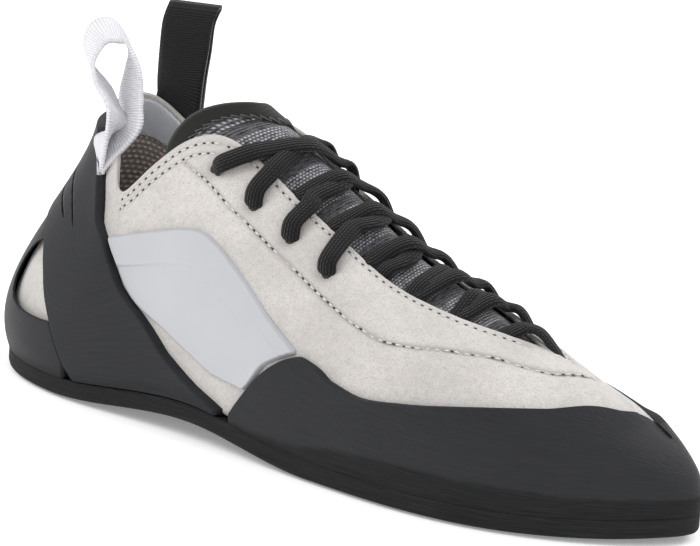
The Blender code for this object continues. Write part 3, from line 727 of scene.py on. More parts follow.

# %% [markdown]
# ## The upper
#
# The suede is two panels on each side of the shoe, lapped and sewn along a long seam, with two
# more rows of stitches round the collar and one down the throat. Sewing pulls the leather down, so
# each row lies in a shallow groove, and the upper panel stands a little higher where it laps the
# lower one. Creases are where the foot bends the shoe: they are drawn as lines on the last with a
# depth and a width, and the grid is pushed in along them.

# %% Seams and creases, as station and height
LONG_SEAM = [(4.53, 0.863), (4.79, 0.777), (5.24, 0.687), (5.56, 0.667), (6.34, 0.650),
             (6.74, 0.627), (7.19, 0.607), (7.51, 0.603), (7.84, 0.615), (8.14, 0.655),
             (8.74, 0.735), (9.22, 0.785), (9.67, 0.803), (10.22, 0.845), (10.80, 0.960)]
CREASES = [
    # station, height to station, height; depth and width in mm, below 0 for a ridge
    ((3.10, 1.00), (3.38, 0.78), 0.9, 2.4),
    ((3.42, 0.97), (3.75, 0.84), 0.35, 2.2),
    ((3.95, 0.62), (4.60, 0.72), 0.30, 3.5),
    ((6.90, 0.72), (7.45, 0.52), 0.35, 4.0),
    ((7.50, 0.74), (8.10, 0.50), 0.45, 4.2),
    ((8.00, 0.84), (8.60, 0.55), 0.35, 3.6),
    ((8.75, 0.86), (9.20, 0.60), 0.30, 3.4),
    ((7.25, 0.70), (7.80, 0.50), -0.30, 4.0),
    ((8.30, 0.80), (8.85, 0.56), -0.25, 3.8),
    ((9.60, 0.86), (10.30, 0.66), 0.25, 4.0),
    ((5.40, 0.90), (5.90, 0.70), 0.25, 3.0),
    ((6.05, 0.92), (6.50, 0.70), 0.25, 3.0),
]
EYELETS = [(4.99, 0.803), (5.64, 0.745), (6.24, 0.750), (6.86, 0.735)]
FAR_EYELETS = [(5.67, 0.85), (6.14, 0.88), (6.75, 0.86), (7.37, 0.86), (7.98, 0.87), (8.61, 0.88),
               (9.28, 0.88), (10.10, 0.90)]
STITCH = 0.0030


def mirrored(table):
    """The same places on the shoe's other side."""
    return [(2 * TOE_ROW - s, t) for s, t in table]


def below_edge(s, distance):
    """Heights that lie a distance below the topline at stations s."""
    reach = np.linalg.norm(surface(s, 1.0 + 0 * s) - surface(s, 0.9 + 0 * s), axis=1)
    return 1 - 0.1 * distance / reach


def drape_line(table, steps):
    """A line on the last through places given as station and height."""
    line = curve(table, steps)
    return surface(line[:, 0], line[:, 1])


def rim_row(start, end, distance, count=60):
    """A row of places that follows the topline at a distance."""
    s = np.linspace(start, end, count)
    return np.column_stack([s, below_edge(s, distance)])


COLLAR_ROWS = [rim_row(3.30, 5.05, 0.0030), rim_row(3.30, 5.00, 0.0062)]
THROAT_ROWS = [rim_row(5.15, 9.75, 0.0030, 120)]
seams = [np.array(LONG_SEAM)] + COLLAR_ROWS + THROAT_ROWS
seams = seams + [np.array(mirrored(seam)) for seam in seams]
seam_lines = [drape_line(seam, 2 if len(seam) > 40 else 12) for seam in seams]
print("sewn rows:", len(seams), "of %.0f mm in all" % sum(
    1000 * np.linalg.norm(np.diff(line, axis=0), axis=1).sum() for line in seam_lines))


# %% How far the leather is pushed in or out
SEAM_DEPTHS = [0.00045, 0.00022, 0.00030, 0.00025] * 2
SEAM_HALF = 0.0007
LAP_HIGH = 0.00045
LAP_WIDE = 0.0035
EYELET_DENT = 0.0011
EYELET_WIDE = 0.0026
SWELL = 0.00018


def relief(points, s, t):
    """Depth of seams and creases at points on the last, in metres, and the painted shade for the seams'
    grooves and the eyelets' dents.
    """
    out = np.zeros(len(points))
    for line, depth in zip(seam_lines, SEAM_DEPTHS):
        gap = apart(points, line)
        out -= depth * np.exp(-(gap / SEAM_HALF) ** 2)
    # painted shade, deepest in the seams' grooves; the eyelets' dents add theirs below
    sewn = -out / 0.0006
    long_gap = apart(points, seam_lines[0])
    upper_side = t > through(LONG_SEAM, s)
    out += np.where((s < TOE_ROW) & upper_side, LAP_HIGH, 0.0) * np.exp(-(long_gap / LAP_WIDE) ** 2)
    for (s0, t0), (s1, t1), depth, width in CREASES:
        along = np.linspace(s0, s1, 14)
        high = np.linspace(t0, t1, 14)
        far_gap = apart(points, surface(2 * TOE_ROW - along, high))
        gap = np.minimum(apart(points, surface(along, high)), far_gap)
        out -= depth / 1000 * np.exp(-(gap / (width / 1000)) ** 2)
    for s0, t0 in EYELETS + mirrored(FAR_EYELETS):
        gap = np.linalg.norm(points - surface(s0, t0), axis=1)
        out -= EYELET_DENT * np.exp(-(gap / EYELET_WIDE) ** 2)
        sewn += 0.55 * np.exp(-(gap / (EYELET_WIDE + 0.0004)) ** 2)
    x, y, z = points.T
    out += SWELL * np.sin(x * 190 + z * 160) * np.sin(z * 230 + y * 150) * ease(t, 0.1, 0.4)
    return out, np.clip(sewn, 0, 1)


# %% Suede upper
MARGIN = 0.06
SUEDE_WALL = 0.0014
FLAT_ROUND = 0.60
FLAT_HIGH = 0.10
EDGE_ROUND = 0.0012

bm, u, v = flat_grid(520, 74)
s = u * COUNT
t = np.clip((v - MARGIN) / (1 - MARGIN), 0, 1)
walls = surface(s, t)
# the second value is the painted shade of the seams' grooves and the eyelets' dents
push, hollow = relief(walls, s, t)
past = TOE_ROW - THROAT_ROW - np.abs(s - TOE_ROW)
edge_starts = below_edge(s, EDGE_ROUND)
edge = np.clip((t - edge_starts) / (1 - edge_starts), 0, 1) * (past < 0)
push = push * (1 - ease(past, -0.1, 0.1) * ease(t, 0.9, 1))
push = push - EDGE_ROUND / 2 * (1 - np.sqrt(1 - 0.96 * edge ** 2))
points = surface(s, t, push)
turned = np.clip(1 - v / MARGIN, 0, 1) * TURN_IN
points[:, :2] -= outward(s) * turned[:, None]
lay(bm, points, u * FLAT_ROUND, v * FLAT_HIGH, hollow=hollow)
upper = finish_piece("upper_suede", bm, SUEDE, ["upper"], weld=2e-5)
walled(upper, SUEDE_WALL)

# %% [markdown]
# Inside, a mesh lining is glued to the suede and stops two millimetres short of its edge. At the
# heel it is brown-grey knit below and a cooler, more open mesh above.

# %% Lining
LINING_WALL = 0.0003
LINING_HIGH = 0.085
STATION = 0.023
HEEL_END = 3.3


def lining_band(name, start, end, low, high, looks, inset):
    """A band of lining on the inside of the upper, with a fold along its top edge."""
    bm, u, v = flat_grid(200, 30)
    s = start + (end - start) * u
    t = low + (high(s) - low) * v
    fold = np.clip((v - 0.95) / 0.05, 0, 1)
    points = surface(s, t, -inset + 0.0005 * fold ** 2)
    for face in bm.faces:
        face.normal_flip()
    lay(bm, points, u * STATION * (end - start), v * LINING_HIGH)
    walled(finish_piece(name, bm, looks), LINING_WALL, 1)


lining_band("lining_vamp", 3.2, COUNT - 3.2, 0.02,
            lambda s: np.minimum(below_edge(s, 0.0022), 0.985), LINING, 0.0016)
lining_band("lining_heel_low", -HEEL_END, HEEL_END, 0.02, lambda s: 0.84 + 0 * s, LINING, 0.0016)
lining_band("lining_heel_high", -HEEL_END, HEEL_END, 0.82, lambda s: below_edge(s, 0.0020),
            COOL_MESH, 0.0021)

# %% [markdown]
# ## Rubber and film
#
# The toe rand, the heel cup and the heel strap are sheets of rubber glued over the suede. Each is
# a grid between two lines on the last. Its free edges are skived, so the sheet's height over the
# suede falls off along a quarter circle there. Where a sheet runs under the sole or meets its
# other half on the ridge of the toe, it keeps its full height.

# %% Outlines of the overlays, as station and height
STRAP_FRONT = [(0.0, 0.940), (1.0, 0.940), (1.5, 0.905), (2.0, 0.878), (2.6, 0.865), (3.0, 0.808),
               (3.3, 0.725), (3.6, 0.560), (3.9, 0.385), (4.3, 0.240), (4.7, 0.115), (5.1, 0.050),
               (5.5, 0.018)]
STRAP_REAR = [(0.0, 0.565), (0.7, 0.560), (1.2, 0.530), (1.6, 0.490), (2.1, 0.415), (2.4, 0.340),
              (2.7, 0.245), (2.95, 0.130), (3.1, 0.050), (3.25, 0.0), (6.0, 0.0)]
RAND_TOP = [(5.65, 0.024), (5.85, 0.095), (6.2, 0.220), (6.55, 0.312), (6.75, 0.342), (6.95, 0.338),
            (7.2, 0.312), (7.5, 0.307), (8.15, 0.363), (9.0, 0.457), (9.8, 0.540), (10.6, 0.643),
            (11.1, 0.710), (11.5, 0.795), (11.8, 0.870), (12.05, 0.945), (12.25, 1.0), (13.0, 1.0)]
PANEL_TOP = [(3.36, 0.726), (3.82, 0.655), (4.18, 0.596), (4.52, 0.560), (4.80, 0.546), (5.02, 0.540),
             (5.20, 0.524), (5.50, 0.492), (5.86, 0.452), (6.21, 0.400), (6.62, 0.350)]
PANEL_FOOT = [(3.36, 0.700), (3.62, 0.560), (3.92, 0.385), (4.15, 0.295), (4.5, 0.215), (4.95, 0.140),
              (5.4, 0.103), (5.85, 0.112), (6.2, 0.236), (6.62, 0.335)]
# the heel cup's window, as shares of the shoe's length and of its instep height
WINDOW = [(0.105, 0.520), (0.075, 0.480), (0.056, 0.420), (0.046, 0.345), (0.052, 0.290),
          (0.072, 0.262), (0.098, 0.253), (0.128, 0.253), (0.170, 0.262), (0.170, 0.520)]


# %% Overlay helper
OVERLAY_WALL = 0.0007
OVERLAY_SUNK = 0.0001
OVERLAY_HIGH = 0.08
TIP_REACH = 0.008
TIP_ROUNDS = 25


def even_out_tip(bm):
    """Welds a sheet that meets itself on the ridge of the toe, and smooths it near the tip."""
    bmesh.ops.remove_doubles(bm, verts=bm.verts, dist=2e-6)
    tip = Vector(surface(TOE_ROW - 0.35, 1.0))
    near = [vert for vert in bm.verts if (vert.co - tip).length < TIP_REACH and not vert.is_boundary]
    for _ in range(TIP_ROUNDS):
        bmesh.ops.smooth_vert(bm, verts=near, factor=0.5, use_axis_x=True, use_axis_y=True,
                              use_axis_z=True)


def overlay(name, s_range, low, high, columns, rows, thick, skive, looks, node,
            shape=None, bottom_round=True, paint=None, closed=False):
    """A sheet glued over the suede between two lines, with skived edges.

    `shape` adds relief and `paint` gives the ground and brushed values. `bottom_round` is for a
    sheet whose lower edge shows, and `closed` for one that meets itself on the ridge of the toe.
    """
    bm, u, v = flat_grid(columns, rows)
    start, end = s_range
    s = start + (end - start) * u
    foot, head = low(s), high(s)
    t = foot + (head - foot) * crowd(v)
    bare = surface(s, t)
    way = np.linspace(start, end, 400)
    edges = [apart(bare, surface(way, high(way))[high(way) < 0.995])]
    if bottom_round:
        edges.append(apart(bare, surface(way, low(way))))
    for side in (start, end):
        foot, head = low(np.array([side])), high(np.array([side]))
        edges.append(apart(bare, surface(side, foot + (head - foot) * np.linspace(0, 1, 30))))
    inside = np.clip(np.min(edges, axis=0) / skive, 0, 1)
    height = (FIT + thick) * np.sqrt(1 - (1 - inside) ** 2) - OVERLAY_SUNK
    if shape is not None:
        height = height + shape(bare, s, t) * ease(inside, 0.1, 1)
    points = surface(s, t, height)
    base = SOLE_THICK + FIT / 2 + lift(points[:, 0] + ORIGIN[0])
    points[:, 2] = np.maximum(points[:, 2], base)
    ground, brushed = paint(points, s, t) if paint else (0 * s, 0 * s)
    lay(bm, points, u * STATION * (end - start), t * OVERLAY_HIGH, ground=ground, brushed=brushed)
    if closed:
        even_out_tip(bm)
    return walled(finish_piece(name, bm, looks, node), OVERLAY_WALL)


# %% [markdown]
# The rand wraps the whole forefoot and closes over the tip of the toe. Its foot is ground flush
# with the sole, up to a line that wavers a little, as the belt was held by hand.

# %% Toe rand
# where the ground band ends, as station and height
GROUND_TOP = [(5.6, 0.0), (6.6, 0.03), (7.54, 0.083), (8.47, 0.108), (9.6, 0.112), (10.4, 0.105),
              (11.5, 0.120), (13.0, 0.160)]


def lateral(s):
    """The station on the lateral side that mirrors s, or s itself."""
    return TOE_ROW - np.abs(np.mod(s, COUNT) - TOE_ROW)


def rand_top(s):
    """The rand's upper edge, which lies a little lower on the medial side of the toe."""
    return through(RAND_TOP, lateral(s)) - 0.15 * ease(s, 13.7, 14.3) * (1 - ease(s, 15.5, 17.5))


def rand_paint(points, s, t):
    """Ground rubber below a wavering line, and brush strokes that fade down from the edge."""
    wave = 0.002 * np.sin(s * 9) + 0.0015 * np.sin(s * 23)
    ground = 1 - ease(t - through(GROUND_TOP, lateral(s)) - wave, -0.012, 0.014)
    brushed = (1 - 0.7 * ease(rand_top(s) - t, 0.05, 0.26)) * ease(lateral(s), 6.6, 8.0)
    return ground, brushed


overlay("toe_rand_rubber", (5.65, 2 * TOE_ROW - 5.65), lambda s: 0 * s, rand_top, 420, 56,
        RAND_THICK, 0.0010, RUBBER, ["toe_rand"], bottom_round=False, paint=rand_paint,
        closed=True)


# %% [markdown]
# The heel cup has a window on each side that shows the suede. A window is die-cut, so it is cut
# here too, with a prism pushed through the finished cup. Its outline has the places of the
# solid's, with a smooth curve through them.

# %% Heel cup with its windows
def cutter(name, outline, start, way):
    """A prism: a closed outline pushed along a way."""
    bm = bmesh.new()
    ring = [bm.verts.new(Vector(p) + Vector(start)) for p in outline]
    face = bm.faces.new(ring)
    pushed = bmesh.ops.extrude_face_region(bm, geom=[face])
    moved = [g for g in pushed["geom"] if isinstance(g, bmesh.types.BMVert)]
    bmesh.ops.translate(bm, verts=moved, vec=way)
    bmesh.ops.recalc_face_normals(bm, faces=bm.faces)
    mesh = bpy.data.meshes.new(name)
    bm.to_mesh(mesh)
    bm.free()
    return link(bpy.data.objects.new(name, mesh))


def cut_away(piece, tools):
    """Cuts the tools out of the piece, applies its modifiers and deletes the tools."""
    for tool in tools:
        cut = piece.modifiers.new("cut", "BOOLEAN")
        cut.operation = "DIFFERENCE"
        cut.solver = "MANIFOLD"
        cut.object = tool
    graph = bpy.context.evaluated_depsgraph_get()
    whole = bpy.data.meshes.new_from_object(piece.evaluated_get(graph))
    piece.modifiers.clear()
    piece.data = whole
    for tool in tools:
        bpy.data.objects.remove(tool)


def foot_paint(points, s, t):
    """Half-ground rubber just over the sole, and none of it brushed."""
    return 0.5 * (1 - ease(t, 0.0, 0.06)), 0 * s


cup = overlay("heel_cup_rubber", (-3.05, 3.05), lambda s: 0 * s,
              lambda s: through(STRAP_REAR, np.abs(s)) - 0.004, 200, 50, CUP_THICK, 0.0008, RUBBER,
              ["heel_cup"], bottom_round=False, paint=foot_paint)
window = [(x * LENGTH - ORIGIN[0], 0, z * INSTEP) for x, z in WINDOW]
window = curve(window[:-2], 8).tolist() + [window[-2], window[-1]]
cut_away(cup, [cutter("window", window, (0, -BALL_HALF * 1.5, 0), (0, BALL_HALF * 3, 0))])


# %% [markdown]
# The strap slings round the heel from the arch on one side to the arch on the other, under
# tension. It is smooth, with two thin slits cut into its lateral side. A slit is cut with a thin
# bar that follows the strap.

# %% Heel strap
SLIT_WIDE = 0.0008
SLIT_DEEP = 0.0016


def slit(name, start, end):
    """A thin bar along a line on the strap, narrow at both ends, to cut a slit with."""
    s, t = np.linspace(start, end, 12).T
    line = surface(s, t)
    facing = unit(surface(s, t, 0.006) - line)
    run = unit(np.gradient(line, axis=0))
    side = np.cross(run, facing)
    bm, u, v = flat_grid(11, 4)
    where = np.round(u * 11).astype(int)
    corner = np.round(v * 4).astype(int) % 4
    taper = np.where((where == 0) | (where == 11), 0.25, 1.0)
    across = np.array([-1, 1, 1, -1])[corner] * SLIT_WIDE / 2 * taper
    height = np.array([0, 0, 1, 1])[corner] * 0.004 + FIT + STRAP_THICK - SLIT_DEEP
    for i, vert in enumerate(bm.verts):
        k = where[i]
        vert.co = line[k] + side[k] * across[i] + facing[k] * height[i]
    bmesh.ops.remove_doubles(bm, verts=bm.verts, dist=1e-6)
    bmesh.ops.holes_fill(bm, edges=bm.edges)
    bmesh.ops.recalc_face_normals(bm, faces=bm.faces)
    mesh = bpy.data.meshes.new(name)
    bm.to_mesh(mesh)
    bm.free()
    return link(bpy.data.objects.new(name, mesh))


strap = overlay("heel_strap_rubber", (-5.5, 5.5), lambda s: through(STRAP_REAR, np.abs(s)),
                lambda s: through(STRAP_FRONT, np.abs(s)), 330, 60, STRAP_THICK, 0.0008, RUBBER,
                ["heel_strap"], paint=foot_paint)
cut_away(strap, [slit("slit_low", (0.55, 0.667), (1.93, 0.603)),
                 slit("slit_high", (0.63, 0.743), (2.36, 0.640))])


# %% [markdown]
# The side panel is film with a raised border along its top, a low step inside it, and a thicker
# lip where it meets the rand.

# %% Side panel
PANEL_STEP = [(3.36, 0.600), (3.57, 0.545), (4.10, 0.464), (4.51, 0.428), (4.83, 0.414), (4.98, 0.408),
              (5.12, 0.388), (5.59, 0.360), (6.01, 0.347), (6.44, 0.303), (6.62, 0.280)]
BORDER_HIGH = 0.00055
LIP_HIGH = 0.0007
LIP_WIDE = 0.0022


def panel_shape(points, s, t):
    """How much higher the panel's border and its lip at the rand stand."""
    border = ease(t - through(PANEL_STEP, s), -0.003, 0.003)
    front = np.linspace(5.85, PANEL_FOOT[-1][0], 60)
    lip = np.exp(-(apart(points, surface(front, through(PANEL_FOOT, front))) / LIP_WIDE) ** 2)
    return BORDER_HIGH * border + LIP_HIGH * lip


overlay("side_panel_film", (PANEL_FOOT[0][0], PANEL_FOOT[-1][0]), lambda s: through(PANEL_FOOT, s),
        lambda s: through(PANEL_TOP, s), 200, 110, PANEL_THICK - 0.0002, 0.0010, FILM,
        ["side_panel"], shape=panel_shape)

# %% [markdown]
# ## Sole and insole
#
# A sole is one outline repeated at several heights. It starts as a circle of vertices that is
# drawn in almost to a line down the sole's middle. Each ring after that is extruded from the last
# one: out over the tread, up the ground edge, over the top and in again under the foot, until the
# rings close on the middle line.

# %% Outsole
OUTLINE = 360


def edge_ring(offset, inward=0.0):
    """The sole's outline pushed out by offset, then drawn in towards the foot's middle line."""
    s = np.linspace(0, COUNT, OUTLINE + 1)[:-1]
    line = row_at(s)[0][:, :2] + outward(s) * offset
    x = np.clip(line[:, 0], 0.12 * LENGTH, 0.86 * LENGTH)
    middle = np.column_stack([x, BALL_HALF * (0.30 * ease(x / LENGTH, 0.55, 1.0) - 0.06)])
    return line + (middle - line) * inward


def tread(x):
    """The sole's underside: flat, lifted at the arch and toe, and rolled up at the heel's back."""
    rolled = np.clip((0.05 - x / LENGTH) / 0.06, 0, None) ** 2
    return lift(x) + HEEL_ROLL * rolled


def sole_top(x):
    """The sole's upper face, which the foot's outline stands on."""
    return SOLE_THICK + lift(x)


def stacked(name, rings, looks, nodes, ground=None):
    """A closed solid of rings: each an offset, a share drawn in and a height function."""
    bm = bmesh.new()
    grounds = bm.verts.layers.float.new("ground")
    pattern = bm.loops.layers.uv.new("pattern")
    made = bmesh.ops.create_circle(bm, cap_ends=False, segments=OUTLINE, radius=1)
    ring = sorted(made["verts"], key=lambda vert: math.atan2(vert.co.y, vert.co.x) % (2 * math.pi))
    loop = bm.edges[:]
    places = {}
    for k, (offset, inward, height) in enumerate(rings):
        if k:
            pushed = bmesh.ops.extrude_edge_only(bm, edges=loop)["geom"]
            fresh = {g for g in pushed if isinstance(g, bmesh.types.BMVert)}
            loop = [g for g in pushed if isinstance(g, bmesh.types.BMEdge) and fresh.issuperset(g.verts)]
            ring = [next(e.other_vert(vert) for e in vert.link_edges if e.other_vert(vert) in fresh)
                    for vert in ring]
        line = edge_ring(offset, inward)
        heights = height(line[:, 0])
        line = line - ORIGIN[:2]
        round_it = np.cumsum(np.linalg.norm(np.diff(line, axis=0, append=line[:1]), axis=1))
        for i, vert in enumerate(ring):
            vert.co = (line[i, 0], line[i, 1], heights[i])
            vert[grounds] = ground[k] if ground else 0.0
            round_here = (round_it[i - 1] % round_it[-1], heights[i])
            places[vert] = (line[i, 0], line[i, 1]) if inward else round_here
    for face in bm.faces:
        last = max(places[corner.vert][0] for corner in face.loops)
        for corner in face.loops:
            x, y = places[corner.vert]
            corner[pattern].uv = (x + round_it[-1] * (last - x > 0.2), y)
    bmesh.ops.remove_doubles(bm, verts=bm.verts, dist=4e-5)
    bmesh.ops.recalc_face_normals(bm, faces=bm.faces)
    return finish_piece(name, bm, looks, nodes)


def at(height, more=0.0):
    """A height function, raised by a little more."""
    return lambda x: height(x) + more


# the tread from the middle line outwards, the rounded lower edge, the ground wall, and the top
rings = [(SOLE_EDGE - 0.004, share, at(tread))
         for share in (0.985, 0.9, 0.75, 0.6, 0.45, 0.3, 0.15, 0.05, 0.0)]
rings += [(SOLE_EDGE - 0.0016, 0, at(tread, 0.00008)), (SOLE_EDGE - 0.0007, 0, at(tread, 0.0004)),
          (SOLE_EDGE - 0.0002, 0, at(tread, 0.0010))]
for share in (0.3, 0.5, 0.7, 0.9):
    rings.append((SOLE_EDGE, 0, lambda x, k=share: tread(x) + (sole_top(x) - tread(x)) * k))
rings += [(SOLE_EDGE, 0, at(sole_top, 0.0001)), (SOLE_EDGE - 0.0001, 0, at(sole_top, 0.00025)),
          (SOLE_EDGE - 0.0012, 0, at(sole_top))]
rings += [(-0.001, share, at(sole_top)) for share in (0.0, 0.2, 0.45, 0.7, 0.9, 0.985)]
ground = [0.9] * 9 + [1] * 10 + [0] * 6
stacked("outsole_rubber", rings, RUBBER, ["outsole"], ground)

base = 2 * FIT + UPPER_WALL
rings = [(-0.0040, share, at(sole_top, base)) for share in (0.985, 0.6, 0.3, 0.0)]
rings += [(-0.0037, 0, at(sole_top, base + 0.0005)), (-0.0037, 0, at(sole_top, base + 0.0018)),
          (-0.0042, 0, at(sole_top, base + 0.0025))]
rings += [(-0.0042, share, at(sole_top, base + 0.0025)) for share in (0.1, 0.3, 0.5, 0.7, 0.85, 0.985)]
stacked("insole_padding", rings, INSOLE_CLOTH, ["insole"])


# %% [markdown]
# ## Tongue
#
# The tongue is a padded knit sheet that fills the throat. Its sides lie under both eyestays and
# its middle is crowned. Near the top it fills out and slants back towards the medial side. Its
# top edge is wrapped in a soft stretch binding, sewn with a zigzag.

# %% Tongue
# station, share of the crown's height, and how far the middle leans forward
TONGUE_ROWS = [(9.6, 0.25, 0.35), (9.0, 0.62, 0.35), (8.4, 0.90, 0.35), (7.8, 1.00, 0.35),
               (7.2, 1.00, 0.37), (6.6, 1.00, 0.40), (6.0, 1.00, 0.44), (5.5, 0.92, 0.50),
               (5.0, 1.02, 0.58), (4.6, 1.70, 0.66), (4.2, 2.72, 0.70)]
TONGUE_TUCK = 0.86
TOP_SHOULDER = np.array([-0.0020, -0.0030, 0.0052])
TOP_SLANT = 0.6


def tongue_way(s):
    """The way the tongue's middle faces at station s."""
    lean = through(np.array(TONGUE_ROWS)[::-1, [0, 2]], s)
    return np.array([lean, 0, np.sqrt(1 - lean**2)])


def tongue_row(s, steps=2):
    """The tongue's outer face across the shoe at station s, from lateral to medial."""
    crown = TONGUE_CROWN * through(np.array(TONGUE_ROWS)[::-1, :2], s)
    far_s = 2 * TOE_ROW - s - TOP_SLANT * (1 - ease(s, 4.2, 5.6))
    sides = surface([s, s, far_s, far_s], [TONGUE_TUCK, 1, 1, TONGUE_TUCK], -UPPER_WALL - SOFT_FIT)
    middle = (sides[1] + sides[2]) / 2 + crown * tongue_way(s)
    row = curve([sides[0], sides[1], middle, sides[2], sides[3]], steps)
    share = np.linspace(0, 1, len(row))
    near = ease(share, 0.18, 0.36) - ease(share, 0.36, 0.54)
    return row + np.outer(near, TOP_SHOULDER) * (1 - ease(s, 4.2, 4.9))


def grid_normals(points):
    """The ways that a table of points faces."""
    across = np.gradient(points, axis=0)
    climb = np.gradient(points, axis=1)
    return unit(np.cross(across, climb))


ALONG_TONGUE = 150
tongue_stations = np.linspace(9.6, 4.2, ALONG_TONGUE + 1)
tongue_face = np.array([tongue_row(s, 14) for s in tongue_stations]).transpose(1, 0, 2)


def lengths_along(points):
    """Real lengths along a table of points, in both ways."""
    middle_row = points[:, points.shape[1] // 2]
    middle_column = points[points.shape[0] // 2]
    across = np.concatenate([[0], np.cumsum(np.linalg.norm(np.diff(middle_row, axis=0), axis=1))])
    along = np.concatenate([[0], np.cumsum(np.linalg.norm(np.diff(middle_column, axis=0), axis=1))])
    return across, along


def table_sheet(name, points, looks, nodes, wall):
    """A walled sheet from a table of points, with its real lengths as its pattern."""
    bm, u, v = flat_grid(points.shape[0] - 1, points.shape[1] - 1)
    across, along = lengths_along(points)
    i = np.round(u * (points.shape[0] - 1)).astype(int)
    j = np.round(v * (points.shape[1] - 1)).astype(int)
    lay(bm, points[i, j], across[i], along[j])
    print("%s: %.0f by %.0f mm flat" % (name, 1000 * across[-1], 1000 * along[-1]))
    return walled(finish_piece(name, bm, looks, nodes), wall)


tongue_piece = table_sheet("tongue_knit_sheet", tongue_face, KNIT, ["tongue"],
                           TONGUE_THICK)

# %% Tongue binding
BINDING_DEEP = 0.0080
BINDING_WALL = 0.0006
BINDING_OFF = 0.0011
ZIGZAG_PITCH = 0.0015
bound = slice(9, 48)
top = tongue_face[bound, -1]
lower = tongue_face[bound, -12]
way_down = unit(lower - top)
out = unit(np.cross(np.gradient(top, axis=0), -way_down))
wrap = []
for deep in np.linspace(1, 0, 9):
    rise = 0.0003 + (BINDING_OFF - 0.0003) * np.sqrt(1 - deep ** 6)
    wrap.append(top + way_down * BINDING_DEEP * deep + out * rise)
half = TONGUE_THICK / 2 + BINDING_OFF
for turn in np.linspace(0, np.pi, 9)[1:-1]:
    over = out * half * np.cos(turn) - way_down * half * 0.7 * np.sin(turn)
    wrap.append(top - out * TONGUE_THICK / 2 + over)
for deep in np.linspace(0, 1, 5):
    wrap.append(top + way_down * BINDING_DEEP * deep - out * (TONGUE_THICK + BINDING_OFF))
table_sheet("tongue_binding_wrap", np.array(wrap).transpose(1, 0, 2), BINDING,
            ["tongue_binding"], BINDING_WALL)


# %% [markdown]
# The zigzag's thread and the lace are tubes. A tube here is a flat grid once more, rolled up: `u`
# goes round it and `v` along its path. Its two ends are drawn to a point in a quarter circle, so
# it is closed and round-ended.

# %% Tubes
def tube_points(path, facing, width, thick, around):
    """A table of points on an oval tube along a path; facing is the way its flat side looks."""
    run = unit(np.gradient(path, axis=0))
    side = unit(np.cross(run, facing))
    rise = np.cross(side, run)
    along = np.concatenate([[0], np.cumsum(np.linalg.norm(np.diff(path, axis=0), axis=1))])
    tip = np.clip(np.minimum(along, along[-1] - along) / (0.45 * width), 0.004, 1)
    size = np.sqrt(1 - (1 - tip) ** 2)
    turns = np.linspace(0, 2 * np.pi, around + 1)
    ring = side[None] * np.cos(turns)[:, None, None] * (width / 2 * size)[None, :, None]
    ring = ring + rise[None] * np.sin(turns)[:, None, None] * (thick / 2 * size)[None, :, None]
    return path[None] + ring


def tubes(name, shapes, looks, nodes=()):
    """Several tubes as one piece. Each shape is a table of points from tube_points."""
    whole = bmesh.new()
    whole.loops.layers.uv.new("pattern")
    for points in shapes:
        bm, u, v = flat_grid(points.shape[0] - 1, points.shape[1] - 1)
        i = np.round(u * (points.shape[0] - 1)).astype(int)
        j = np.round(v * (points.shape[1] - 1)).astype(int)
        across, along = lengths_along(points)
        lay(bm, points[i, j], across[i], along[j])
        bmesh.ops.remove_doubles(bm, verts=bm.verts, dist=2e-6)
        part = bpy.data.meshes.new("part")
        bm.to_mesh(part)
        bm.free()
        whole.from_mesh(part)
        bpy.data.meshes.remove(part)
    bmesh.ops.recalc_face_normals(whole, faces=whole.faces)
    return finish_piece(name, whole, looks, nodes)


# %% Zigzag along the binding
inner = evenly(top + way_down * (BINDING_DEEP - 0.0002) + out * 0.0006, ZIGZAG_PITCH)
outer = evenly(top + way_down * (BINDING_DEEP - 0.0020) + out * 0.0012, ZIGZAG_PITCH)
turns = [(inner if k % 2 else outer)[k] for k in range(min(len(inner), len(outer)))]
path = np.concatenate([np.linspace(a, b, 4)[:-1] for a, b in zip(turns, turns[1:])])
facing = np.broadcast_to(tongue_way(4.3), path.shape)
tubes("binding_zigzag", [tube_points(path, facing, 0.0004, 0.00035, 6)], GREY_THREAD)

# %% [markdown]
# ## Lace
#
# The lace is a flat oval braid. The upper strands come out of an eyelet on the near eyestay and
# the lower ones from under its edge. All of them cross the tongue, and either go down through an
# eyelet on the far side or slip under its edge. Strands that cross lie on each other. No ends
# show: they stay inside, at the top eyelets.

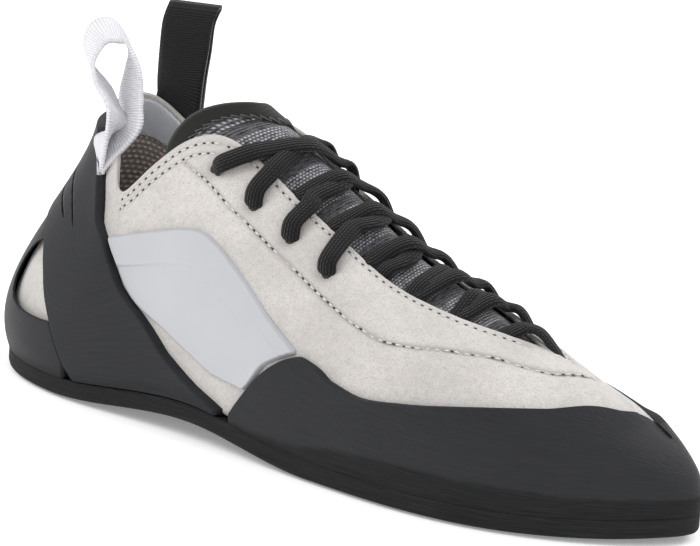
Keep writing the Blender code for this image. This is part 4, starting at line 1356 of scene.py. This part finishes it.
# %% Lace strands
TOP = LACE_THICK / 2 + 0.0007
UNDER = -0.0024
HOLE = -0.0026
LACE_STEP = 0.0009
STRANDS = [
    # places on the near side as station, height and how far off the last; stations over the tongue
    # with the share across it; places on the far side; and whether it is laid over its partner
    ([(4.99, 0.803, HOLE), (5.07, 0.823, 0.0006), (5.21, 0.857, TOP), (5.49, 0.977, TOP)],
     [(5.60, 0.34), (5.80, 0.50), (5.92, 0.68)], [(6.02, 1.00, TOP), (6.14, 0.88, HOLE)], True),
    ([(5.64, 0.745, HOLE), (5.66, 0.780, 0.0006), (5.69, 0.84, TOP), (5.81, 0.973, TOP)],
     [(5.80, 0.33), (5.70, 0.50), (5.56, 0.68)], [(5.60, 1.00, 0.0012), (5.68, 0.93, 0.0006),
     (5.78, 0.86, HOLE)], False),
    ([(6.10, 0.90, UNDER), (6.17, 0.99, UNDER)],
     [(6.24, 0.28), (6.27, 0.40), (6.33, 0.50), (6.40, 0.65)],
     [(6.60, 1.00, TOP), (6.75, 0.86, HOLE)], True),
    ([(6.24, 0.750, HOLE), (6.26, 0.785, 0.0006), (6.29, 0.843, TOP), (6.44, 0.985, TOP)],
     [(6.40, 0.31), (6.42, 0.45), (6.28, 0.60)], [(6.10, 0.97, UNDER), (6.05, 0.90, UNDER)], False),
    ([(6.70, 0.90, UNDER), (6.78, 0.99, UNDER)],
     [(6.84, 0.28), (6.88, 0.40), (6.96, 0.50), (7.05, 0.65)],
     [(7.22, 1.00, TOP), (7.37, 0.86, HOLE)], True),
    ([(6.86, 0.735, HOLE), (6.88, 0.765, 0.0006), (6.91, 0.81, TOP), (7.05, 0.975, TOP)],
     [(7.06, 0.34), (7.14, 0.44), (6.98, 0.60)], [(6.70, 0.97, UNDER), (6.65, 0.90, UNDER)], False),
    ([(7.35, 0.90, UNDER), (7.43, 0.99, UNDER)],
     [(7.50, 0.27), (7.54, 0.38), (7.64, 0.50), (7.72, 0.65)],
     [(7.85, 1.00, TOP), (7.98, 0.87, HOLE)], True),
    ([(7.70, 0.90, UNDER), (7.71, 0.99, UNDER)],
     [(7.74, 0.31), (7.80, 0.42), (7.60, 0.60)], [(7.30, 0.97, UNDER), (7.25, 0.90, UNDER)], False),
    ([(8.15, 0.90, UNDER), (8.22, 0.99, UNDER)],
     [(8.28, 0.28), (8.32, 0.41), (8.38, 0.52), (8.42, 0.65)],
     [(8.50, 1.00, TOP), (8.61, 0.88, HOLE)], True),
    ([(8.30, 0.90, UNDER), (8.28, 0.99, UNDER)],
     [(8.24, 0.27), (8.20, 0.38), (8.10, 0.60)], [(7.90, 0.97, UNDER), (7.85, 0.90, UNDER)], False),
    ([(8.72, 0.90, UNDER), (8.80, 0.99, UNDER)],
     [(8.90, 0.34), (8.93, 0.50), (8.98, 0.66)], [(9.15, 1.00, TOP), (9.28, 0.88, HOLE)], True),
    ([(8.90, 0.90, UNDER), (8.85, 0.99, UNDER)],
     [(8.78, 0.41), (8.72, 0.50), (8.68, 0.65)], [(8.60, 0.97, UNDER), (8.55, 0.90, UNDER)], False),
    ([(9.35, 0.90, UNDER), (9.42, 0.99, UNDER)],
     [(9.50, 0.40), (9.58, 0.60)], [(9.80, 1.00, TOP), (10.10, 0.90, HOLE)], True),
]


def on_side(s, t, off):
    """A place on an eyestay, and the way the surface looks there."""
    return np.hstack([surface(s, t, off), normal(np.array([s]), np.array([min(t, 0.97)]))[0]])


def on_tongue(s, share, over, punched):
    """A place over the tongue. A strand rides over the one it crosses by nearly its thickness.

    A strand that comes up through a near eyelet starts above its partner and ends below it.
    """
    row = tongue_row(s, 16)
    at_share = share * (len(row) - 1)
    place = row[int(at_share)] + (row[int(at_share) + 1] - row[int(at_share)]) * (at_share % 1)
    lean = min(abs(share - 0.5) / 0.25, 1)
    edge = on_side(s if share < 0.5 else 2 * TOE_ROW - s, 1.0, 0)[3:]
    way = unit((1 - lean) * tongue_way(s) + lean * edge)
    height = (1 - 0.5 * lean) if over else (1 - ease(share, 0.36, 0.52)) * punched
    rise = LACE_THICK / 2 + 0.0004 + 0.0019 * height
    return np.hstack([place + way * rise, way])


def strand(near, middle, far, over):
    """One strand of the lace as a table of points.

    Each place carries the way the strand faces there, shrunk so that it adds nothing to the length.
    """
    places = [on_side(*place) for place in near]
    punched = near[0][2] == HOLE
    places += [on_tongue(s, share, over and (punched or share > 0.42), punched) for s, share in middle]
    places += [on_side(2 * TOE_ROW - s, t, off) for s, t, off in far]
    both = curve(places, 10)
    both[:, 3:] *= 1e-6
    both = evenly(both, LACE_STEP)
    print("strand of %.0f mm" % (1000 * LACE_STEP * (len(both) - 1)))
    return tube_points(both[:, :3], unit(both[:, 3:]), LACE_WIDTH, LACE_THICK, 16)


tubes("lace_braid", [strand(*row) for row in STRANDS], BRAID, ["laces"])


# %% [markdown]
# ## Pull loops
#
# Two loops of grosgrain tape at the heel help to pull the shoe on. The pale one is on the lateral
# side and twists as it turns over. The black one, on the medial side, is broader and stands up.
# Both feet of a tape are sewn flat on the collar. The free part is a curve through a few rows of
# the tape, each placed from the rim and turned the way the tape lies there.

# %% Pull loops
# places from the rim as shares of the loop's height, and the way across the tape
WHITE_LOOP = [(0.09, 0.06, 0.05, 0.95, -0.30, 0.00),
              (0.06, 0.12, 0.21, 0.90, -0.30, 0.25), (0.01, 0.17, 0.38, 0.90, -0.35, 0.25),
              (-0.04, 0.22, 0.55, 0.80, -0.50, 0.25), (-0.12, 0.24, 0.72, 0.65, -0.75, 0.25),
              (-0.22, 0.19, 0.83, 0.75, -0.60, -0.25), (-0.30, 0.09, 0.83, 0.85, -0.45, -0.25),
              (-0.32, 0.00, 0.72, 0.90, -0.45, 0.00), (-0.27, -0.05, 0.56, 0.70, -0.65, 0.15),
              (-0.12, -0.05, 0.39, 0.45, -0.85, 0.20), (0.01, -0.07, 0.27, 0.40, -0.80, 0.30),
              (0.12, -0.10, 0.13, 0.30, -0.80, 0.30)]
BLACK_LOOP = [(0.04, 0.01, 0.28, -0.92, -0.30, 0.00), (0.10, -0.03, 0.56, -0.85, -0.48, 0.00),
              (0.15, -0.06, 0.80, -0.80, -0.56, 0.05), (0.19, -0.04, 0.95, -0.78, -0.60, 0.05),
              (0.15, 0.05, 0.95, -0.78, -0.60, 0.05), (0.09, 0.04, 0.79, -0.80, -0.56, 0.05),
              (0.05, 0.06, 0.53, -0.85, -0.48, 0.00), (0.00, 0.09, 0.26, -0.92, -0.30, 0.00)]


def pull_loop(name, base_s, foot, loop, width, looks, node):
    """A tape from the collar's side, up, over and back to where it started."""
    rows = np.array(loop)
    ways = unit(rows[:, 3:])
    foot = np.array(foot)
    step = np.linalg.norm(surface(base_s + 0.5, 0.97) - surface(base_s - 0.5, 0.97))
    rim = surface(base_s, 1.0)
    lines = []
    for k in np.linspace(-0.5, 0.5, 11):
        s = base_s + k * width / step
        near = surface(s, foot, FIT + LOOP_THICK / 2)
        far = surface(s, foot[:0:-1], FIT + LOOP_THICK * 1.6)
        free = rim + rows[:, :3] * LOOP_HIGH + ways * width * k
        lines.append(curve(np.vstack([near, free, far]), 12))
    points = np.array(lines)
    points = points + grid_normals(points) * LOOP_THICK / 2
    return table_sheet(name, points, looks, [node], wall=LOOP_THICK)


pull_loop("white_pull_loop", 1.75, (0.83, 0.87, 0.915), WHITE_LOOP, 0.0150, WHITE_TAPE,
          "pull_loop_lateral")
pull_loop("black_pull_loop", 23.90, (0.91, 0.955, 1.0), BLACK_LOOP, BLACK_WIDTH, BLACK_TAPE,
          "pull_loop_medial")


# %% [markdown]
# ## Stitches
#
# A stitch is a short thread between two needle holes. One small stretched ball is placed for each,
# a little sunk into its groove, with a flat dark one at its end as painted shade in the needle
# hole. Bigger flat dark ones, painted shade too, line the dents where the eyelets are punched.

# %% Stitches and the painted shade in their holes
THREAD_LONG = 0.0019
THREAD_WIDE = 0.0006
THREAD_HIGH = 0.0005
PRICK = (0.0011, 0.0007, 0.0003)
PUNCH = (0.0056, 0.0050, 0.0006)
SUNK = 0.0001


def along_seam(seam):
    """Stations and heights a stitch apart along a seam."""
    dense = curve(seam, 12) if len(seam) < 40 else seam
    line = surface(dense[:, 0], dense[:, 1])
    along = np.concatenate([[0], np.cumsum(np.linalg.norm(np.diff(line, axis=0), axis=1))])
    even = np.arange(0, along[-1], STITCH)
    return np.interp(even, along, dense[:, 0]), np.interp(even, along, dense[:, 1])


def bead(bm, middle, run, facing, size, segments=8):
    """A small ball stretched to size along run, across and along facing."""
    side = np.cross(facing, run)
    turn = Matrix(np.column_stack([run * size[0], side * size[1], facing * size[2]]).tolist()).to_4x4()
    bmesh.ops.create_uvsphere(bm, u_segments=segments, v_segments=5, radius=0.5,
                              matrix=Matrix.Translation(middle) @ turn)


def sew(name, rows, off):
    """Threads, and painted shade for their needle holes, along rows of stitches, on the leather as it
    was pushed in.
    """
    threads = bmesh.new()
    prick_shades = bmesh.new()
    for seam in rows:
        s, t = along_seam(np.asarray(seam))
        place = surface(s, t, relief(surface(s, t), s, t)[0])
        facing = normal(s, t)
        for i in range(len(s) - 1):
            run = unit(place[i + 1] - place[i])
            up_here = unit(facing[i] + facing[i + 1])
            bead(threads, (place[i] + place[i + 1]) / 2 + up_here * off, run, up_here,
                 (THREAD_LONG, THREAD_WIDE, THREAD_HIGH))
            bead(prick_shades, place[i] + facing[i] * SUNK, run, facing[i], PRICK)
    finish_piece(name, threads, PALE_THREAD)
    finish_piece(name + "_hole_shade", prick_shades, HOLE_SHADE)


def both_sides(rows):
    """The rows, and the same ones on the shoe's other side."""
    return rows + [mirrored(row) for row in rows]


sew("long_seam", both_sides([LONG_SEAM]), 0.0002)
sew("collar_seam", both_sides(COLLAR_ROWS), 0.0001)
sew("throat_seam", both_sides(THROAT_ROWS), 0.0)

# %% Painted shade in the punched eyelets
punched = bmesh.new()
for s, t in EYELETS + mirrored(FAR_EYELETS):
    here = surface(s, t)
    facing = normal(np.array([s]), np.array([t]))[0]
    place = surface(s, t, relief(here[None], np.array([s]), np.array([t]))[0][0] + SUNK)
    run = unit(np.cross(facing, [0, 0, 1]))
    bead(punched, place, run, facing, PUNCH, 20)
finish_piece("punched_hole_shade", punched, HOLE_SHADE)
